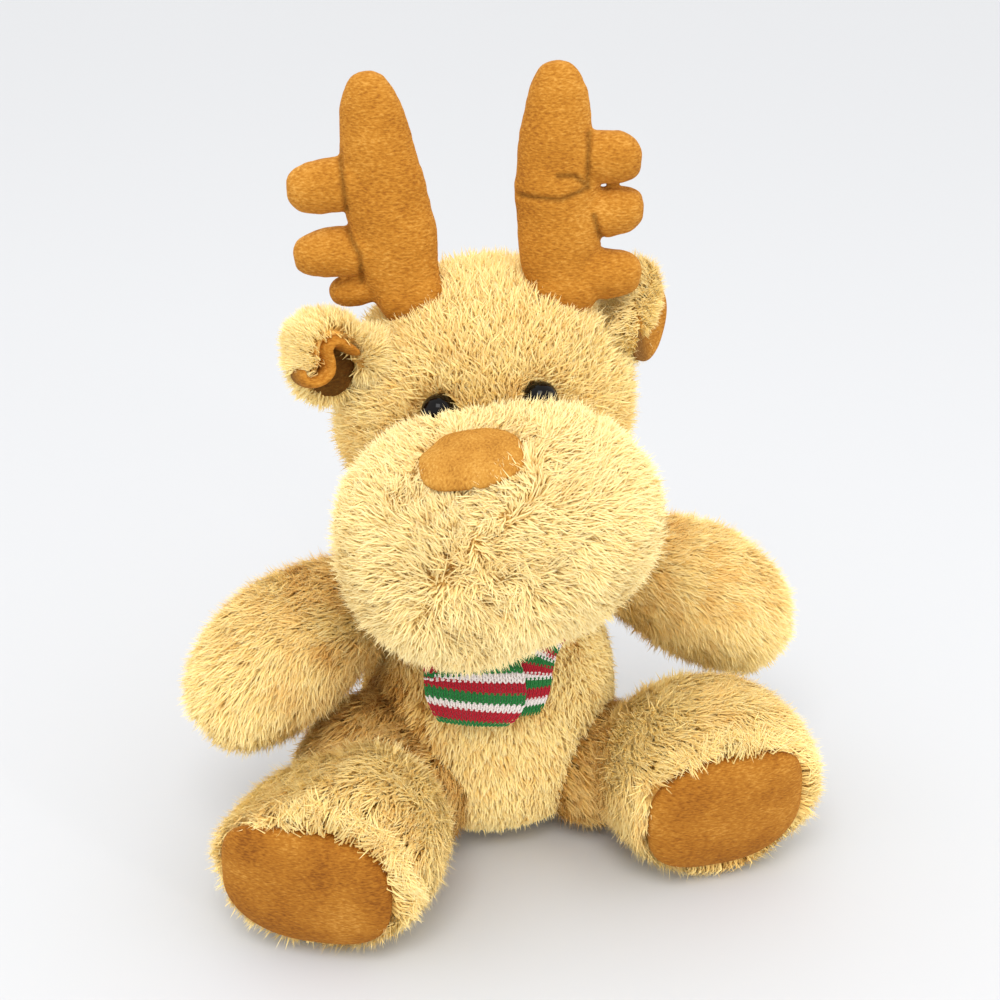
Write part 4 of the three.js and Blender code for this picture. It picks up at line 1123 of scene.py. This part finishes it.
def combed(key, comb, pile=None, lie=None, tint=None, bare=(), crease=9, wild=1.0):
    """Writes on a skin how its pile lies. Pile is shorter on the floor, darker with painted shade where
    another skin closes in on it, and leaves out what another skin covers."""
    skin, others = skins[key], [tree for other, tree in trees.items() if other != key]
    values = {"comb": [], "cover": [], "pile": [], "lie": [], "shade": []}
    for vertex in skin.data.vertices:
        place, normal = vertex.co / MM, vertex.normal
        flow = comb(place, normal) + swirl(place, 18, 0.6 * wild) + swirl(place, 5, 0.5 * wild)
        flow = flow - normal * flow.dot(normal)
        values["comb"].extend(flow.normalized() if flow.length > 1e-4 else X)
        near = max(depth_in(tree, place + normal * 1.5) for tree in others)
        shut_in = near > -0.5 and any(inside(tree, place + normal * 2) for tree in others)
        values["cover"].append(0.0 if shut_in or any(b(place) for b in bare) else 1.0)
        pressed = 1 - 0.7 * (1 - eased(place.z, 0, 9)) * (normal.z < 0)
        values["pile"].append(pressed * (pile(place, normal) if pile else 1.0))
        values["lie"].append(lie(place, normal) if lie else 1.0)
        # Painted shade: the pile is darkened within the crease reach of another skin
        painted_crease_shade = 1 - eased(-near, 0, crease)
        shade = 0.62 + 0.2 * noise.noise(place / 12) + 0.35 * noise.noise(place / 3) - 0.2 * painted_crease_shade
        values["shade"].append(min(max(shade + (tint(place, normal) if tint else 0.0), 0.05), 0.95))
    for name, numbers in values.items():
        write(skin.data, name, numbers, "FLOAT_VECTOR" if name == "comb" else "FLOAT")


def from_point(point, fall=0.25, calm=0.01):
    def comb(place, normal):
        away = place - point
        return away / (away.length + calm) - Z * fall
    return comb


def close_to(points, low, high):
    """0 beside the nearest of some points, 1 away from them."""
    return lambda place: eased(min((place - p).length for p in points), low, high)


bridge = HEAD @ Vector((6, -70, 52))
snout = HEAD @ (MUZZLE_CENTRE + Vector((-15, -44, 1)))
from_eyes = close_to(list(eye_middles.values()), 5, 13)
from_nose = close_to([nose_middle], 12, 40)
nose_lap = nose_middle + in_head(10, -3, -10)
from_lap = close_to([nose_lap], 6, 14)
from_snout = close_to([snout], 4, 26)


def arm_comb(name):
    matrix = arm_place(SIDES[name])
    line, _ = smooth_line([matrix @ p for p in arm_line(SIDES[name])], 40)

    def comb(place, normal):
        spot = min(range(40), key=lambda i: (line[i] - place).length_squared)
        return (line[spot + 1] - line[spot]).normalized() - Z * 0.2
    return comb, line


def leg_comb(name):
    matrix = leg_place(name)
    ahead = (matrix.to_3x3() @ foot_ahead(name)).normalized()
    heel = matrix @ ankle(name)

    def comb(place, normal):
        away = place - heel
        near_pad = eased(away.dot(ahead), 10, 24)
        round_pad = (away - ahead * away.dot(ahead)).normalized() + ahead * (0.2 + 0.5 * (away.z > 12))
        return (ahead * 0.35 + X * SIDES[name] * 0.5 - Z * 0.45) * (1 - near_pad) + round_pad * near_pad
    return comb


def under_scarf(place):
    """Where the scarf presses the body's pile flat."""
    turn = math.atan2(place.x - NECK.x, NECK.y - place.y)
    tails = 64 < place.z < 92 and -0.78 < turn < 0.13
    drop = ((1 + math.cos(turn)) / 2) ** 4.6
    return tails or 110 - drop * 36 < place.z < 122 - drop * 31


def in_pad(name):
    matrix = leg_place(name)
    middle, ahead = matrix @ pad_middle(name), matrix.to_3x3() @ foot_ahead(name)
    side = ahead.cross(Z)

    def within(place):
        away = place - middle
        wide, tall = away.dot(side) / (PAD["width"] / 2 - 1), away.z / (PAD["height"] / 2 - 1)
        return abs(away.dot(ahead)) < 6 and abs(wide) ** 3 + abs(tall) ** 3 < 1
    return within


def under_lining(name):
    """Where an ear's lining, or the floor of its hollow, covers the ear, so that no pile grows through."""
    lining, inverse = trees[f"lining_{name}"], ear_places[name].inverted()
    middle = sum(vectors(EARS[name]["floor"][0]), Vector()) / 2 if "floor" in EARS[name] else None

    def covered(point):
        at = inverse @ point
        if middle and at.y < 7 and ((at.x - middle.x) / 10.5) ** 2 + ((at.z - middle.z) / 10) ** 2 < 1:
            return True
        return depth_in(lining, point) > -1.6
    return covered


# Painted light: the head's pile is lighter where it faces up and darker where it faces down
combed("head", from_point(bridge, 0), lambda p, n: 0.45 + 0.55 * from_eyes(p),
       tint=lambda p, n: 0.12 * n.z, crease=4)


def muzzle_comb(place, normal):
    lapping = 1 - from_lap(place)
    return (from_point(snout, 0.1, 28)(place, normal) * (1 - lapping)
            + in_head(-1.2, 0, 0.9) * lapping)


combed("muzzle", muzzle_comb,
       lambda p, n: 0.62 + 0.38 * max(from_nose(p), 1 - from_lap(p)), wild=1.25,
       tint=lambda p, n: 0.12 - 0.2 * (1 - from_snout(p)))
groin = Vector((-44, -18, 52))  # the fold above the right hip
# Painted light and shade: the torso's pile is lighter towards +X, and painted shade darkens it in the fold above
# the right hip
combed("torso", lambda p, n: Vector((p.x * 0.004, 0, -1)),
       lambda p, n: 0.45 if under_scarf(p) else 0.8, crease=6,
       tint=lambda p, n: 0.05 + 0.2 * eased(p.x, 5, 30) - 0.6 * (1 - eased((p - groin).length, 16, 34)))
for name in SIDES:
    comb, line = arm_comb(name)
    paw = line[-1]
    combed(f"arm_{name}", comb, tint=lambda p, n: 0.25 - 0.006 * (p - paw).length)
    # Painted shade: each leg's pile darkens near its hip, and the right one also near the fold above the hip
    deep = close_to([leg_place(name).translation] + ([groin] if name in HIP_BULGES else []), 20, 38)
    combed(f"leg_{name}", leg_comb(name), bare=[in_pad(name)], crease=8,
           tint=lambda p, n: 0.14 - 0.55 * (1 - deep(p)))
    hollow = ear_places[name] @ Vector(EARS[name]["cavity"])
    short = close_to([ear_places[name] @ Vector((-3, -8, 5))] if name == "left" else [hollow], 5, 14)
    combed(f"ear_{name}", from_point(hollow, 0), lambda p, n: 0.7 + 0.3 * short(p), lie=lambda p, n: 0.7,
           tint=lambda p, n: 0.35, bare=[under_lining(name)], crease=2, wild=0.3)

# Covers: cloth, material slot, the CAD piece it stands for, the body it moves with and its filling
COVERS = {
    "head": (golden_ground, "fur", "head_cover", "head", 0.85),
    "muzzle": (cream_ground, "pale_fur", "muzzle_cover", "head", 0.85),
    "torso": (golden_ground, "fur", "torso_cover", "body", 0.85),
    "nose": (nose_velboa, "velboa", "nose_patch", "head", 0.7),
    "arm": (golden_ground, "fur", "arm_cover", "arm", 0.8),
    "leg": (golden_ground, "fur", "leg_cover", "leg", 0.8),
    "ear": (golden_ground, "fur", "ear_back", "ear", 0.5),
    "lining": (velboa, "velboa", "ear_lining", "ear", 0.3),
    "antler": (velboa, "velboa", "antler_cover", "antler", 0.9),
    "pad": (combed_velboa, "velboa", "foot_pad", "leg", 0.6),
    "eye": (gloss, "gloss", "eye", "head", None),
}
# Piles: fur, locks, length, width, lean, unruliness, spacing of the clumps, their pull and the seed
PILES = {
    "head": (golden_pile, 62000, 9.0, 0.58, 0.3, 0.5, 3.2, 0.6, 11),
    "muzzle": (cream_pile, 64000, 10.0, 0.6, 0.36, 0.35, 4.8, 0.6, 12),
    "torso": (golden_pile, 58000, 9.0, 0.65, 0.42, 0.25, 4.0, 0.5, 13),
    "arm": (golden_pile, 44000, 11.0, 0.65, 0.2, 0.28, 4.6, 0.6, 20),
    "leg": (golden_pile, 60000, 11.0, 0.65, 0.36, 0.22, 4.6, 0.5, 30),
    "ear": (golden_pile, 20000, 7.5, 0.5, 0.2, 0.3, 3.5, 0.6, 40),
}
for key, piece in skins.items():
    dressed(piece, COVERS[key.split("_")[0]][0])
for piece in (head_fill, leg_fill, *antler_fills.values()):
    dressed(piece, wadding)
piles = {key: grown(f"{key}_pile", skins[key], *PILES[key]) for key in ("head", "muzzle", "torso")}
for number, name in enumerate(SIDES):
    for part in ("arm", "leg", "ear"):
        *ways, seed = PILES[part]
        piles[f"{part}_{name}"] = grown(f"{part}_pile_{name}", skins[f"{part}_{name}"], *ways, seed + number)


# Riding: what each piece moves with and the CAD pieces it stands for

def rides(piece, body, slot, nodes=(), fill=None, bend=None):
    if bend:
        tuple(bend[0])
        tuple(bend[1])
        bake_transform(piece)
    else:
        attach(piece, body)
    if nodes:
        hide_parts(*nodes)


def cover_rides(key, bend=None):
    """A cover, and its pile where it has one. On a side, the names of node and body end in it."""
    part, _, side = key.partition("_")
    slot, node, body, fill = COVERS[part][1:]
    ending = f"_{side}" if side else ""
    body += ending if body != "head" else ""
    rides(skins[key], body, slot, [node + ending], fill, bend)
    if key in piles:
        rides(piles[key], body, slot, bend=bend)


for key in ("head", "muzzle", "torso", "nose"):
    cover_rides(key)
rides(head_fill, "head", "wadding", ["head_stuffing"])
rides(leg_fill, "leg_right", "wadding", ["leg_stuffing_right"])
rides(scarf_cloth, "body", "knit", ["scarf"])
rides(scarf_stitches, "body", "knit")
flat_area = sum(2 * share_at(strip.halves, i / 200) for i in range(201)) / 201 * strip.length * MM * MM
2 * max(strip.halves) * MM
for name in SIDES:
    bend = [leg_place(name) @ Vector((0, -reach, 0)) * MM for reach in LEG_BEND]
    for part in ("arm", "leg", "ear", "lining", "antler", "pad", "eye"):
        cover_rides(f"{part}_{name}", bend if part == "leg" else None)
    rides(antler_fills[name], f"antler_{name}", "wadding", [f"antler_stuffing_{name}"])

hidden = {"wadding": wadding, "pellets": pellets, "backing": backing, "moulding": moulding}
for part in frame["record"]["subparts"]:
    if part["material_slot"] in hidden:
        dressed(frame["nodes"][part["node"]], hidden[part["material_slot"]])

for group in (LOCKS, STITCH):
    for shape in list(group.objects):
        bpy.data.objects.remove(shape)
    bpy.data.collections.remove(group)


# Floor, light and camera

FLOOR_HALF = 4000
floor = piece_from("floor", [([Vector((x, y, 0)) * FLOOR_HALF for x, y in ((-1, -1), (1, -1), (1, 1), (-1, 1))],
                              [(0, 1, 2, 3)])], smooth=False)
pale, pale_tree = new_material("pale_floor")
finished(pale_tree, {"Base Color": colour("#cbccce"), "Roughness": 0.9, "Specular IOR Level": 0.1})
dressed(floor, pale)

world = bpy.data.worlds.new("studio")
world.use_nodes = True
light = world.node_tree.nodes["Background"].inputs
light["Color"].default_value = (1, 1, 1, 1)
light["Strength"].default_value = 1.35
bpy.context.scene.world = world


def softbox(name, place, size, power, target=Vector((0, -0.03, 0.12))):
    lamp = bpy.data.lights.new(name, "AREA")
    lamp.shape = "SQUARE"
    lamp.size = size
    lamp.energy = power
    box = linked(name, lamp)
    box.location = place
    box.rotation_euler = (Vector(place) - target).to_track_quat("Z", "Y").to_euler()


CAMERA_AWAY, FRAME_WIDTH = 0.6, 0.352
camera = bpy.data.cameras.new("camera")
camera.sensor_width = 36
camera.lens = camera.sensor_width * CAMERA_AWAY / FRAME_WIDTH
camera.clip_start = 0.01
view = linked("camera", camera)
azimuth, elevation = math.radians(-18), math.radians(23)
outward = Vector((math.sin(azimuth) * math.cos(elevation), -math.cos(azimuth) * math.cos(elevation),
                  math.sin(elevation)))
view.location = Vector((-5, -46, 150)) * MM + outward * CAMERA_AWAY
view.rotation_euler = outward.to_track_quat("Z", "Y").to_euler()
bpy.context.scene.camera = view
bpy.context.scene.view_settings.view_transform = "Standard"

softbox("key_softbox", (-0.4, -0.9, 1.5), 0.7, 10)
# The small lamp is placed so that the camera sees its reflection in the middle of the left eye
eye, out_of_eye = eye_middles["left"] * MM, eye_normals["left"]
to_camera = (view.location - eye).normalized()
glint = 2 * out_of_eye.dot(to_camera) * out_of_eye - to_camera
softbox("eye_light", eye + glint * 1.3, 0.1, 2.6, eye)
